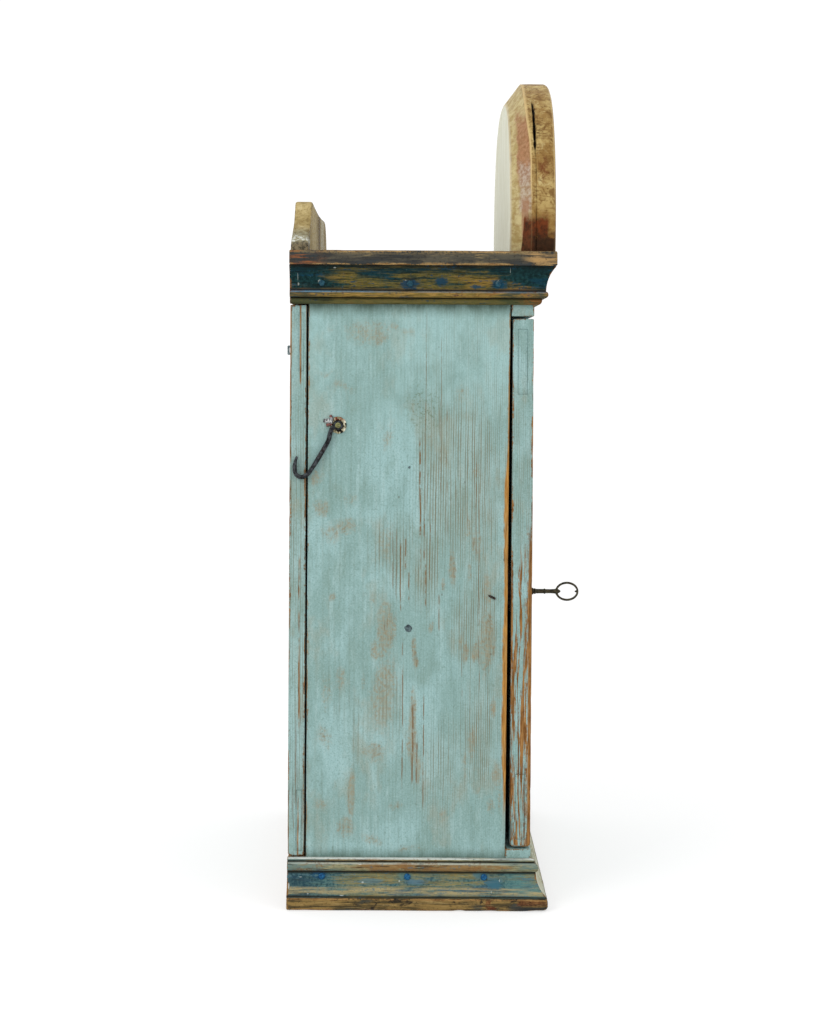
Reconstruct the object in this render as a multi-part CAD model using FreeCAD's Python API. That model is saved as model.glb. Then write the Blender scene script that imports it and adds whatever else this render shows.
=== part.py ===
import FreeCAD, Part
import math
import os

os.makedirs("parts", exist_ok=True)
V = FreeCAD.Vector

# ---------------------------------------------------------------- dimensions
# Millimetres. +Z is up, the front faces -Y, the key side is -X.
# The origin is the centre of the underside of the bottom board.
HALF_W = 220.0          # half the width over the side boards
BACK = 143.0            # back plane of rails, rear door, boards and rear crest
FRONT = -124.5          # front plane of the two front rails

BOTTOM_T = 13.0         # bottom board thickness
BOTTOM_X = 239.0
BOTTOM_FRONT = -143.0
TOP_Z0 = 703.7          # underside of the top board
TOP_Z1 = 719.5
TOP_X = 244.0
TOP_FRONT = -147.75

SIDE_T = 20.0
SIDE_BACK = 122.95
SIDE_FRONT_TOP = -98.55     # the left front edge is not quite square
SIDE_FRONT_LOW = -96.15
HOUSING = 6.0               # depth of the shelf housings

FLOOR_Z = (47.5, 63.5)
SHELF_LOW_Z = (298.0, 314.0)
SHELF_UP_Z = (475.0, 491.0)
SHELF_FRONT = -80.0
SHELF_BACK = 120.0

DOOR_BACK = -101.25         # front door
DOOR_FRONT = -124.15
DOOR_Z = (65.4, 646.6)
STILE = 68.0
TOP_RAIL_Z0 = 560.0
LOW_RAIL_Z1 = 150.0
TENON_Y = (-117.4, -107.3)
TENON_TOP_Z = (564.0, 635.0)
TENON_LOW_Z = (74.0, 146.0)
GROOVE_Y = (-116.0, -109.0)
GROOVE = 9.0

RDOOR_FRONT = 125.0         # rear door
RDOOR_Z = (54.5, 660.5)
RSTILE = 62.0
RTOP_RAIL_Z0 = 582.0
RLOW_RAIL_Z1 = 132.0
RTENON_Y = (128.0, 133.5)
RTENON_TOP_Z = (588.0, 652.0)
RTENON_LOW_Z = (60.0, 127.0)
RGROOVE_Y = (128.2, 133.3)

KEY_X = -185.0
KEY_Z = 343.8
KEY_R = 2.45
BIT_R = 6.8

HINGE_X = 223.4             # knuckle axis
FRONT_HINGE_Y = -99.9
REAR_HINGE_Y = 123.97
KNUCKLE_R = 3.2
PIN_R = 1.6
RUN = 0.05                  # radial running clearance
HINGE_H = 62.0
FRONT_HINGE_Z = (134.0, 578.0)
REAR_HINGE_Z = (128.0, 586.0)

HOOK_Y = 89.9
HOOK_Z = 528.9
HOOK_X = -224.4


# ---------------------------------------------------------------- helpers
def box(x0, x1, y0, y1, z0, z1):
    return Part.makeBox(x1 - x0, y1 - y0, z1 - z0, V(x0, y0, z0))


def cyl(p, d, r, h):
    return Part.makeCylinder(r, h, V(*p), V(*d))


def prism_xy(points, z0, z1):
    wire = Part.makePolygon([V(x, y, z0) for x, y in points] + [V(points[0][0], points[0][1], z0)])
    return Part.Face(wire).extrude(V(0, 0, z1 - z0))


def prism_xz(points, y0, y1):
    wire = Part.makePolygon([V(x, y0, z) for x, z in points] + [V(points[0][0], y0, points[0][1])])
    return Part.Face(wire).extrude(V(0, y1 - y0, 0))


def prism_yz(points, x0, x1):
    wire = Part.makePolygon([V(x0, y, z) for y, z in points] + [V(x0, points[0][0], points[0][1])])
    return Part.Face(wire).extrude(V(x1 - x0, 0, 0))


def mirror_x(shape):
    return shape.mirror(V(0, 0, 0), V(1, 0, 0))


def cut(shape, tools):
    for tool in tools:
        shape = shape.cut(tool)
    return shape


def fuse(shapes):
    out = shapes[0]
    for s in shapes[1:]:
        out = out.fuse(s)
    return out.removeSplitter()


def put(name, *shapes):
    solids = []
    for s in shapes:
        solids.extend(s.Solids)
    if not solids:
        raise RuntimeError("no solid in " + name)
    for s in solids:
        if not s.isValid() or s.Volume <= 0:
            raise RuntimeError("bad solid in " + name)
    out = solids[0] if len(solids) == 1 else Part.makeCompound(solids)
    out.exportStep("parts/" + name + ".step")


# ---------------------------------------------------------------- nails
def nail(p, d, head_r, head_h, shank_r, length):
    """A domed nail: p is the point where the underside of the head meets the wood,
    d points into the wood."""
    n = V(*d)
    p = V(*p)
    n.normalize()
    base = Part.makeCylinder(head_r, head_h * 0.45, p - n * (head_h * 0.45), n)
    dome = Part.makeCone(head_r * 0.55, head_r, head_h * 0.55, p - n * head_h, n)
    shank = Part.makeCylinder(shank_r, length, p, n)
    return fuse([base, dome, shank])


cornice_nails = []
for y in (108.0, 12.0, -84.0):
    cornice_nails.append(nail((-HALF_W - 13.6, y, 684.0), (1, 0, 0), 3.5, 1.4, 1.3, 26.0))
    cornice_nails.append(nail((HALF_W + 13.6, y, 684.0), (-1, 0, 0), 3.5, 1.4, 1.3, 26.0))
for x in (-150.0, 0.0, 150.0):
    cornice_nails.append(nail((x, FRONT - 13.6, 684.0), (0, 1, 0), 3.5, 1.4, 1.3, 26.0))

base_nails = []
for y in (105.0, 11.0, -73.0):
    base_nails.append(nail((-HALF_W - 6.6, y, 34.0), (1, 0, 0), 3.75, 1.6, 1.4, 24.0))
    base_nails.append(nail((HALF_W + 6.6, y, 34.0), (-1, 0, 0), 3.75, 1.6, 1.4, 24.0))
for x in (-150.0, 0.0, 150.0):
    base_nails.append(nail((x, FRONT - 6.6, 34.0), (0, 1, 0), 3.75, 1.6, 1.4, 24.0))

shelf_nails = []
for z in (306.0, 483.0):
    for sx in (-1, 1):
        shelf_nails.append(nail((sx * HALF_W, 11.6, z), (-sx, 0, 0), 3.6, 0.6, 1.1, 46.0))

carcass_nails = []
for sx in (-1, 1):
    for y in (-62.0, 92.0):
        carcass_nails.append(nail((sx * 210.0, y, TOP_Z1), (0, 0, -1), 3.2, 0.8, 1.5, 48.0))
        carcass_nails.append(nail((sx * 210.0, y, 1.2), (0, 0, 1), 3.2, 0.8, 1.5, 44.0))

crest_nails = []
for x in (-150.0, 0.0, 150.0):
    crest_nails.append(cyl((x, -112.0, TOP_Z0), (0, 0, 1), 1.6, 48.0))
    crest_nails.append(cyl((x, -135.5, TOP_Z0), (0, 0, 1), 1.6, 48.0))
for x in (-150.0, -50.0, 90.0, 170.0):
    crest_nails.append(cyl((x, 133.5, TOP_Z0), (0, 0, 1), 1.6, 34.0))

# ---------------------------------------------------------------- mouldings
# (p, z): p is the projection from the face that the moulding is nailed to.
CORNICE = [
    (0.0, 661.7), ("L", 4.0, 661.7), ("A", 7.6, 664.6, 7.4, 668.4), ("L", 9.6, 668.9),
    ("A", 14.4, 672.6, 12.2, 676.2), ("L", 12.2, 676.9), ("A", 14.6, 690.5, 22.0, 702.6),
    ("L", 22.0, 703.7), ("L", 0.0, 703.7),
]
BASE = [
    (0.0, 13.0), ("L", 17.5, 13.0), ("L", 17.5, 14.4), ("A", 9.0, 24.5, 5.6, 38.8),
    ("L", 5.6, 39.5), ("A", 8.2, 44.6, 5.0, 49.6), ("L", 3.5, 50.0),
    ("A", 4.7, 51.9, 3.4, 53.7), ("L", 0.0, 53.7),
]


def profile_face(profile, place):
    edges = []
    here = profile[0]
    start = here
    for seg in profile[1:]:
        if seg[0] == "L":
            end = (seg[1], seg[2])
            edges.append(Part.makeLine(place(*here), place(*end)))
        else:
            end = (seg[3], seg[4])
            edges.append(Part.Arc(place(*here), place(seg[1], seg[2]), place(*end)).toShape())
        here = end
    edges.append(Part.makeLine(place(*here), place(*start)))
    return Part.Face(Part.Wire(edges))


def run_left(profile, tools):
    face = profile_face(profile, lambda p, z: V(-HALF_W - p, BACK, z))
    bar = face.extrude(V(0, FRONT - 40.0 - BACK, 0))
    z0 = min(s[-1] for s in profile) - 5
    z1 = max(s[-1] for s in profile) + 5
    plan = prism_xy([(-HALF_W, BACK), (-HALF_W, FRONT), (-HALF_W - 40, FRONT - 40), (-HALF_W - 40, BACK)], z0, z1)
    return cut(bar.common(plan), tools)


def run_front(profile, tools):
    face = profile_face(profile, lambda p, z: V(-HALF_W - 40.0, FRONT - p, z))
    bar = face.extrude(V(2 * HALF_W + 80.0, 0, 0))
    z0 = min(s[-1] for s in profile) - 5
    z1 = max(s[-1] for s in profile) + 5
    plan = prism_xy([(-HALF_W, FRONT), (HALF_W, FRONT), (HALF_W + 40, FRONT - 40), (-HALF_W - 40, FRONT - 40)], z0, z1)
    return cut(bar.common(plan), tools)


def near(tools, shape):
    b = shape.BoundBox
    return [t for t in tools if b.intersect(t.BoundBox)]


for tag, profile, tools in (("cornice", CORNICE, cornice_nails), ("base_moulding", BASE, base_nails)):
    left = run_left(profile, [])
    put(tag + "_left", cut(left, near(tools, left)))
    right = mirror_x(left)
    put(tag + "_right", cut(right, near(tools, right)))
    front = run_front(profile, [])
    put(tag + "_front", cut(front, near(tools, front)))

# ---------------------------------------------------------------- carcass boards
SIDE_NAILS = cornice_nails + base_nails + shelf_nails + carcass_nails

put("bottom_board", cut(box(-BOTTOM_X, BOTTOM_X, BOTTOM_FRONT, BACK, 0, BOTTOM_T), carcass_nails))
put("top_board", cut(box(-TOP_X, TOP_X, TOP_FRONT, BACK, TOP_Z0, TOP_Z1), carcass_nails + crest_nails))

housings = [
    box(-HALF_W + SIDE_T - HOUSING, -HALF_W + SIDE_T + 1, SHELF_FRONT, SHELF_BACK, z0, z1)
    for z0, z1 in (SHELF_LOW_Z, SHELF_UP_Z)
]
FLOOR_FRONT = -96.0
FLOOR_BACK = 121.0
housings.append(box(-HALF_W + SIDE_T - HOUSING, -HALF_W + SIDE_T + 1, FLOOR_FRONT, FLOOR_BACK, *FLOOR_Z))

left_raw = prism_yz(
    [(SIDE_BACK, BOTTOM_T), (SIDE_BACK, TOP_Z0), (SIDE_FRONT_TOP, TOP_Z0), (SIDE_FRONT_LOW, BOTTOM_T)],
    -HALF_W, -HALF_W + SIDE_T)
# pocket for the lock bolt and the nails of its keep
BOLT_Y = (-92.5, -88.0)
BOLT_Z = (351.2, 361.0)
pocket = box(-208.0, -199.0, BOLT_Y[0] - 0.7, BOLT_Y[1] + 0.7, BOLT_Z[0] - 0.8, BOLT_Z[1] + 0.8)

keep_nail_through = fuse([
    cyl((-198.8, -80.0, 341.0), (-1, 0, 0), 1.0, 22.0),
    cyl((-198.8, -80.0, 341.0), (1, 0, 0), 2.4, 0.7),
    Part.makeSphere(1.0, V(-220.8, -80.0, 341.0)),
    cyl((-220.8, -80.0, 341.0), (0, 0.90, 0.43), 1.0, 4.5),
    cyl((-220.8, -80.0, 341.0), (0, -0.90, -0.43), 1.0, 4.0),
])
keep_nail_short = fuse([
    cyl((-198.8, -80.0, 367.0), (-1, 0, 0), 1.0, 14.0),
    cyl((-198.8, -80.0, 367.0), (1, 0, 0), 2.4, 0.7),
])
keep_nails = [keep_nail_through, keep_nail_short]

hook_screw_shank = cyl((-220.0, HOOK_Y, HOOK_Z), (1, 0, 0), 2.0, 16.0)

side_left = cut(left_raw, housings + [pocket] + keep_nails + [hook_screw_shank])
side_left = cut(side_left, near(SIDE_NAILS, side_left))
put("side_board_left", side_left)

# ---------------------------------------------------------------- hinges
LEAF_T = 1.4
LEAF_IN = 203.5       # inner end of every hinge leaf


def screw(p, d, depth):
    """Countersunk wood screw: p is the centre of the head's outer face."""
    head = Part.makeCone(2.9, 1.5, LEAF_T, V(*p), V(*d))
    shank = Part.makeCylinder(1.5, depth, V(*p), V(*d))
    return fuse([head, shank])


def hinge_pair(axis_y, side, zs):
    """side +1: the case leaf lies at greater y than the axis (front hinges),
    -1: at smaller y (rear hinges). Returns case leaves, door leaves, pins,
    case screws, door screws."""
    case_leaves, door_leaves, pins, case_screws, door_screws = [], [], [], [], []
    for zc in zs:
        z0 = zc - HINGE_H / 2.0
        kn = HINGE_H / 5.0
        near_case = axis_y + side * 0.7
        far_case = axis_y + side * (0.7 + LEAF_T)
        near_door = axis_y - side * 0.7
        far_door = axis_y - side * (0.7 + LEAF_T)
        cy = sorted((near_case, far_case))
        dy = sorted((near_door, far_door))
        case = [box(LEAF_IN, 219.7, cy[0], cy[1], z0, z0 + HINGE_H)]
        door = [box(LEAF_IN, 219.7, dy[0], dy[1], z0, z0 + HINGE_H)]
        for k in range(5):
            a = z0 + k * kn + 0.15
            b = z0 + (k + 1) * kn - 0.15
            if k % 2 == 0:
                case.append(box(219.0, HINGE_X, cy[0], cy[1], a, b))
                case.append(cyl((HINGE_X, axis_y, a), (0, 0, 1), KNUCKLE_R, b - a))
            else:
                door.append(box(219.0, HINGE_X, dy[0], dy[1], a, b))
                door.append(cyl((HINGE_X, axis_y, a), (0, 0, 1), KNUCKLE_R, b - a))
        pin = cyl((HINGE_X, axis_y, z0 - 0.6), (0, 0, 1), PIN_R, HINGE_H + 1.2)
        cs = []
        ds = []
        for dz in (-21.0, 0.0, 21.0):
            x = 211.5 + (2.2 if dz == 0.0 else -2.0)
            cs.append(screw((x, near_case, zc + dz), (0, side, 0), 18.0))
            ds.append(screw((x, near_door, zc + dz), (0, -side, 0), 13.0))
        case_leaf = cut(fuse(case), [pin] + cs)
        bore = cyl((HINGE_X, axis_y, z0 - 1.0), (0, 0, 1), PIN_R + RUN, HINGE_H + 2.0)
        door_leaf = cut(fuse(door), [bore] + ds)
        case_leaves.append(case_leaf)
        door_leaves.append(door_leaf)
        heads = [cyl((HINGE_X, axis_y, z0 - 1.4), (0, 0, 1), 2.4, 1.4),
                 cyl((HINGE_X, axis_y, z0 + HINGE_H), (0, 0, 1), 2.4, 1.4)]
        pins.append(fuse([pin] + heads))
        case_screws += cs
        door_screws += ds
    return case_leaves, door_leaves, pins, case_screws, door_screws


f_case, f_door, f_pins, f_cs, f_ds = hinge_pair(FRONT_HINGE_Y, 1, FRONT_HINGE_Z)
r_case, r_door, r_pins, r_cs, r_ds = hinge_pair(REAR_HINGE_Y, -1, REAR_HINGE_Z)
f_case = [cut(s, near(f_pins, s)) for s in f_case]
r_case = [cut(s, near(r_pins, s)) for s in r_case]
put("front_hinge_case_leaves", *f_case)
put("front_hinge_door_leaves", *f_door)
put("front_hinge_pins", *f_pins)
put("rear_hinge_case_leaves", *r_case)
put("rear_hinge_door_leaves", *r_door)
put("rear_hinge_pins", *r_pins)
put("hinge_screws_case", *(f_cs + r_cs))
put("hinge_screws_front_door", *f_ds)
put("hinge_screws_rear_door", *r_ds)


def leaf_bed(axis_y, side, zs, door):
    """Shallow recess in the wood under a hinge leaf."""
    beds = []
    for zc in zs:
        s = -side if door else side
        y0, y1 = sorted((axis_y + s * 0.4, axis_y + s * (0.7 + LEAF_T)))
        beds.append(box(LEAF_IN, HALF_W + 1, y0, y1, zc - HINGE_H / 2.0, zc + HINGE_H / 2.0))
    return beds


right_raw = box(HALF_W - SIDE_T, HALF_W, SIDE_FRONT_TOP, SIDE_BACK, BOTTOM_T, TOP_Z0)
right_cuts = [mirror_x(h) for h in housings]
right_cuts += leaf_bed(FRONT_HINGE_Y, 1, FRONT_HINGE_Z, False) + leaf_bed(REAR_HINGE_Y, -1, REAR_HINGE_Z, False)
side_right = cut(right_raw, right_cuts + f_cs + r_cs)
side_right = cut(side_right, near(SIDE_NAILS, side_right))
put("side_board_right", side_right)

# ---------------------------------------------------------------- floor and shelves
SHELF_X = HALF_W - SIDE_T + HOUSING
put("floor_board", box(-SHELF_X, SHELF_X, FLOOR_FRONT, FLOOR_BACK, *FLOOR_Z))
for name, z in (("shelf_lower", SHELF_LOW_Z), ("shelf_upper", SHELF_UP_Z)):
    put(name, cut(box(-SHELF_X, SHELF_X, SHELF_FRONT, SHELF_BACK, *z), shelf_nails))

# ---------------------------------------------------------------- fixed rails
put("front_top_rail", cut(box(-HALF_W, HALF_W, FRONT, -99.8, 649.4, TOP_Z0), cornice_nails))
put("front_bottom_rail", cut(prism_xy(
    [(-HALF_W, FRONT), (HALF_W, FRONT), (HALF_W, -98.75), (-HALF_W, -96.4)], BOTTOM_T, 63.5), base_nails))
put("rear_top_rail", box(-HALF_W, HALF_W, 123.0, BACK, 661.7, TOP_Z0))
put("rear_bottom_rail", box(-HALF_W, HALF_W, 123.0, BACK, BOTTOM_T, 53.3))

put("cornice_nails", *cornice_nails)
put("base_nails", *base_nails)
put("shelf_nails", *shelf_nails)
put("carcass_nails", *carcass_nails)
put("crest_nails", *crest_nails)

# ---------------------------------------------------------------- front crest: two boards
CREST_JOINT = -124.0


def arch_wire(half_w, height, y, foot):
    """Full arch, a little narrower at the foot."""
    n = 2.6
    pts = []
    steps = 26
    for i in range(steps + 1):
        a = math.pi * i / steps
        c, s = math.cos(a), math.sin(a)
        x = -half_w * math.copysign(abs(c) ** (2.0 / n), c)
        z = height * abs(s) ** (2.0 / n)
        k = max(0.0, 1.0 - z / 55.0)
        x *= 1.0 - foot * k * k / half_w
        pts.append(V(x, y, TOP_Z1 + z))
    curve = Part.BSplineCurve()
    curve.interpolate(pts)
    return Part.Wire([curve.toShape(), Part.makeLine(pts[-1], pts[0])])


crest_front = Part.Face(arch_wire(235.0, 210.0, CREST_JOINT, 4.0)).extrude(V(0, -146.85 - CREST_JOINT, 0))
crest_back = Part.makeLoft([
    arch_wire(235.0, 210.0, CREST_JOINT, 4.0),
    arch_wire(235.0, 210.0, -120.25, 4.0),
    arch_wire(214.0, 186.0, -97.5, 4.0)], True, True)
put("crest_front", cut(crest_front, near(crest_nails, crest_front)))
put("crest_backing", cut(crest_back, near(crest_nails, crest_back)))

# ---------------------------------------------------------------- rear crest: two boards
RC_JOINT = 26.0
RC_LEFT = [(-220.0, 719.5), (-220.0, 727.0), (-210.0, 733.5), (-190.0, 743.0), (-167.0, 755.0),
           (-154.0, 768.0), (-145.0, 778.0), (-130.0, 781.0), (-80.0, 779.6), (-20.0, 778.0), (RC_JOINT - 0.2, 777.6),
           (RC_JOINT - 0.2, 719.5)]
RC_RIGHT = [(RC_JOINT + 0.2, 719.5), (RC_JOINT + 0.2, 777.6), (90.0, 779.2), (150.0, 781.0), (176.0, 780.0),
            (196.0, 773.5), (210.0, 761.0), (218.0, 744.0), (220.0, 730.0), (220.0, 719.5)]
HANG = [cyl((x, BACK + 1, 745.0), (0, -1, 0), 3.0, 30.0) for x in (-120.0, 120.0)]


def rear_half(points):
    """Shaped board: a smooth curve over the top, straight foot and sides."""
    top = points[1:-1]
    curve = Part.BSplineCurve()
    curve.interpolate([V(x, 124.0, z) for x, z in top])
    a, b = points[0], points[-1]
    wire = Part.Wire([
        Part.makeLine(V(a[0], 124.0, a[1]), V(top[0][0], 124.0, top[0][1])),
        curve.toShape(),
        Part.makeLine(V(top[-1][0], 124.0, top[-1][1]), V(b[0], 124.0, b[1])),
        Part.makeLine(V(b[0], 124.0, b[1]), V(a[0], 124.0, a[1])),
    ])
    return Part.Face(wire).extrude(V(0, BACK - 124.0, 0))


for name, pts in (("rear_crest_left", RC_LEFT), ("rear_crest_right", RC_RIGHT)):
    half = rear_half(pts)
    put(name, cut(half, near(crest_nails + HANG, half)))

# ---------------------------------------------------------------- lock keep on the left side
put("lock_keep", cut(
    box(-200.0, -198.8, -95.5, -75.0, 334.0, 373.0),
    [box(-201, -198, BOLT_Y[0] - 0.7, BOLT_Y[1] + 0.7, BOLT_Z[0] - 0.8, BOLT_Z[1] + 0.8)] + keep_nails))
put("lock_keep_nails", *keep_nails)

# ---------------------------------------------------------------- framed doors
def pegs_for(xs, zs, y0, y1):
    return [cyl((x, y0, z), (0, 1, 0), 3.0, y1 - y0) for x in xs for z in zs]


def framed(stile_x0, stile_x1, y0, y1, z, rail_low, rail_top, tenon_y, t_low, t_top, groove_y):
    """Stiles with through mortises and grooves, rails with through tenons."""
    xi = HALF_W - (stile_x1 - stile_x0)
    left = box(-HALF_W, -xi, y0, y1, z[0], z[1])
    right = box(xi, HALF_W, y0, y1, z[0], z[1])
    mort = [box(-HALF_W - 1, HALF_W + 1, tenon_y[0], tenon_y[1], t[0], t[1]) for t in (t_low, t_top)]
    groove = box(-xi - GROOVE, xi + GROOVE, groove_y[0], groove_y[1], rail_low - GROOVE, rail_top + GROOVE)
    left = cut(left, mort + [groove])
    right = cut(right, mort + [groove])
    low = fuse([box(-xi, xi, y0, y1, z[0], rail_low), box(-HALF_W, HALF_W, tenon_y[0], tenon_y[1], *t_low)])
    top = fuse([box(-xi, xi, y0, y1, rail_top, z[1]), box(-HALF_W, HALF_W, tenon_y[0], tenon_y[1], *t_top)])
    low = cut(low, [groove])
    top = cut(top, [groove])
    return xi, left, right, low, top


# front door
xi, lock_stile, hinge_stile, low_rail, top_rail = framed(
    0, STILE, DOOR_FRONT, DOOR_BACK, DOOR_Z, LOW_RAIL_Z1, TOP_RAIL_Z0,
    TENON_Y, TENON_LOW_Z, TENON_TOP_Z, GROOVE_Y)
f_pegs = pegs_for((-190.0, 190.0), (92.0, 128.0, 582.0, 617.0), DOOR_FRONT, DOOR_BACK)

# worn, rounded foot of the stile on the key side
foot = [e for e in lock_stile.Edges
        if abs(e.BoundBox.ZMin - DOOR_Z[0]) < 1e-3 and abs(e.BoundBox.ZMax - DOOR_Z[0]) < 1e-3
        and e.BoundBox.XLength > 50 and abs(e.BoundBox.YLength) < 1e-3]
lock_stile = lock_stile.makeFillet(5.0, foot)

keyhole = [
    cyl((KEY_X, DOOR_FRONT - 3, KEY_Z), (0, 1, 0), 3.0, 40.0),
    box(KEY_X - 1.7, KEY_X + 1.7, DOOR_FRONT - 3, DOOR_BACK + 3, KEY_Z - 10.0, KEY_Z),
]
lock_screws = []
for x in (-190.0, -162.0):
    for z in (326.0, 369.0):
        lock_screws.append(fuse([
            Part.makeCone(2.9, 1.5, 1.5, V(x, -99.75, z), V(0, -1, 0)),
            cyl((x, -99.75, z), (0, -1, 0), 1.5, 15.0)]))

put("front_door_hinge_stile", cut(hinge_stile, leaf_bed(FRONT_HINGE_Y, 1, FRONT_HINGE_Z, True) + f_ds + f_pegs))
put("front_door_top_rail", cut(top_rail, f_pegs + f_ds))
put("front_door_bottom_rail", cut(low_rail, f_pegs + f_ds))
f_pegs = [cut(p, near(f_ds, p)) for p in f_pegs]
put("front_door_pegs", *f_pegs)


def panel(px, z0, z1, y_a, y_b, y_field, bevel):
    """Thin tongue all round and a raised field with sloping margins."""
    tongue = box(-px, px, min(y_a, y_b), max(y_a, y_b), z0, z1)

    def rect(hx, za, zb, y):
        return Part.makePolygon([V(-hx, y, za), V(hx, y, za), V(hx, y, zb), V(-hx, y, zb), V(-hx, y, za)])

    field = Part.makeLoft([
        rect(px - 10.0, z0 + 10.0, z1 - 10.0, y_b),
        rect(px - 10.0 - bevel, z0 + 10.0 + bevel, z1 - 10.0 - bevel, y_field)], True, True)
    return fuse([tongue, field])


put("front_door_panel", panel(xi + 8.0, LOW_RAIL_Z1 - 8.0, TOP_RAIL_Z0 + 8.0, -109.2, -115.8, -121.4, 30.0))

# rear door
rxi, free_stile, rhinge_stile, rlow_rail, rtop_rail = framed(
    0, RSTILE, RDOOR_FRONT, BACK, RDOOR_Z, RLOW_RAIL_Z1, RTOP_RAIL_Z0,
    RTENON_Y, RTENON_LOW_Z, RTENON_TOP_Z, RGROOVE_Y)
r_pegs = pegs_for((-192.0, 192.0), (78.0, 110.0, 604.0, 636.0), RDOOR_FRONT, BACK)

PULL_X = -198.0
PULL_Y = BACK + 3.2
pull = fuse([
    cyl((PULL_X, BACK - 12.0, 607.0), (0, 1, 0), 1.2, PULL_Y - BACK + 12.0),
    cyl((PULL_X, BACK - 12.0, 615.0), (0, 1, 0), 1.2, PULL_Y - BACK + 12.0),
    Part.makeSphere(1.2, V(PULL_X, PULL_Y, 607.0)),
    Part.makeSphere(1.2, V(PULL_X, PULL_Y, 615.0)),
    cyl((PULL_X, PULL_Y, 607.0), (0, 0, 1), 1.2, 8.0),
])
pull_holes = [cyl((PULL_X, BACK - 12.0, z), (0, 1, 0), 1.2, 13.0) for z in (607.0, 615.0)]
put("rear_door_pull", pull)
put("rear_door_free_stile", cut(free_stile, r_pegs + pull_holes))
put("rear_door_hinge_stile", cut(rhinge_stile, leaf_bed(REAR_HINGE_Y, -1, REAR_HINGE_Z, True) + r_ds + r_pegs))
put("rear_door_top_rail", cut(rtop_rail, r_pegs + r_ds + pull_holes))
put("rear_door_bottom_rail", cut(rlow_rail, r_pegs + r_ds))
r_pegs = [cut(p, near(r_ds, p)) for p in r_pegs]
put("rear_door_pegs", *r_pegs)
put("rear_door_panel", panel(rxi + 8.0, RLOW_RAIL_Z1 - 8.0, RTOP_RAIL_Z0 + 8.0, 128.4, 133.1, 139.5, 26.0))

# ---------------------------------------------------------------- lock
CASE_X = (-196.0, -156.0)
CASE_Y1 = -84.5
CASE_Z = (330.0, 365.0)
WALL = 1.3
outer = box(CASE_X[0], CASE_X[1], DOOR_BACK, CASE_Y1, *CASE_Z)
inner = box(CASE_X[0] + WALL, CASE_X[1] - WALL, DOOR_BACK - 1, CASE_Y1 - WALL, CASE_Z[0] + WALL, CASE_Z[1] - WALL)
flanges = [box(CASE_X[0], CASE_X[1], DOOR_BACK, DOOR_BACK + 1.5, CASE_Z[0] - 8.0, CASE_Z[0] + 0.5),
           box(CASE_X[0], CASE_X[1], DOOR_BACK, DOOR_BACK + 1.5, CASE_Z[1] - 0.5, CASE_Z[1] + 8.0)]
case = fuse([cut(outer, [inner])] + flanges)
slot = box(CASE_X[0] - 1, CASE_X[0] + WALL + 0.5, BOLT_Y[0] - 0.3, BOLT_Y[1] + 0.3, BOLT_Z[0] - 0.3, BOLT_Z[1] + 0.3)
bearing = cyl((KEY_X, CASE_Y1 - 4, KEY_Z), (0, 1, 0), KEY_R + RUN, 8.0)
case = cut(case, [slot, bearing] + lock_screws)
put("lock_case", case)
put("lock_screws", *lock_screws)

bolt = box(CASE_X[0] + 0.3, -160.0, BOLT_Y[0], BOLT_Y[1], *BOLT_Z)
put("lock_bolt", bolt)
put("lock_spring", prism_xz(
    [(-190.0, 363.7), (-175.0, 362.3), (-160.0, 363.7), (-160.0, 363.0), (-175.0, 361.6), (-190.0, 363.0)],
    -92.0, -88.5))

# oval keyhole plate
plate = Part.Face(Part.Wire([Part.Ellipse(V(0, 0, 0), 17.0, 10.0).toShape()])).extrude(V(0, 0, 1.2))
plate.rotate(V(0, 0, 0), V(0, 0, 1), 90)
plate.rotate(V(0, 0, 0), V(1, 0, 0), 90)
plate.translate(V(KEY_X, DOOR_FRONT, KEY_Z - 3.0))
plate_pins = [cyl((KEY_X, DOOR_FRONT - 1.6, KEY_Z - 3.0 + dz), (0, 1, 0), 1.0, 9.0) for dz in (-14.0, 14.0)]
plate = fuse([cut(plate, keyhole)] + plate_pins)
put("keyhole_plate", plate)

# the two plate pins sit in their own holes in the stile
stile = cut(lock_stile, keyhole + pegs_for((-190.0,), (92.0, 128.0, 582.0, 617.0), DOOR_FRONT, DOOR_BACK)
            + lock_screws + plate_pins)
put("front_door_lock_stile", stile)

# ---------------------------------------------------------------- key
BOW_C = DOOR_FRONT - 41.0
BOW_A = 11.9
BOW_B = 9.55
BOW_WIRE = 1.1
shank = cyl((KEY_X, CASE_Y1 - 0.2, KEY_Z), (0, -1, 0), KEY_R, (CASE_Y1 - 0.2) - (BOW_C + BOW_A))
collars = [cyl((KEY_X, DOOR_FRONT - 2.0, KEY_Z), (0, -1, 0), 3.85, 1.6),
           cyl((KEY_X, DOOR_FRONT - 4.6, KEY_Z), (0, -1, 0), 3.4, 1.4),
           cyl((KEY_X, DOOR_FRONT - 15.5, KEY_Z), (0, -1, 0), 3.0, 1.5)]
bit = box(KEY_X - 1.2, KEY_X + 1.2, -99.0, -88.2, KEY_Z - BIT_R, KEY_Z)
bit = cut(bit, [box(KEY_X - 3, KEY_X + 3, -95.0, -93.4, KEY_Z - BIT_R - 1, KEY_Z - 5.0)])

ellipse = Part.Ellipse(V(KEY_X, BOW_C + BOW_A, KEY_Z), V(KEY_X, BOW_C, KEY_Z + BOW_B), V(KEY_X, BOW_C, KEY_Z))
spine = Part.Wire([ellipse.toShape()])
profile = Part.Wire([Part.makeCircle(BOW_WIRE, V(KEY_X, BOW_C + BOW_A, KEY_Z), V(0, 0, 1))])
bow = spine.makePipeShell([profile], True, True)
cusps = [Part.makeCone(1.5, 0.5, 4.6, V(KEY_X, BOW_C + BOW_A, KEY_Z), V(0, -1, 0)),
         Part.makeCone(1.3, 0.5, 3.4, V(KEY_X, BOW_C - BOW_A, KEY_Z), V(0, 1, 0))]
key = fuse([shank] + collars + [bit, bow] + cusps)
put("key", key)

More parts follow.
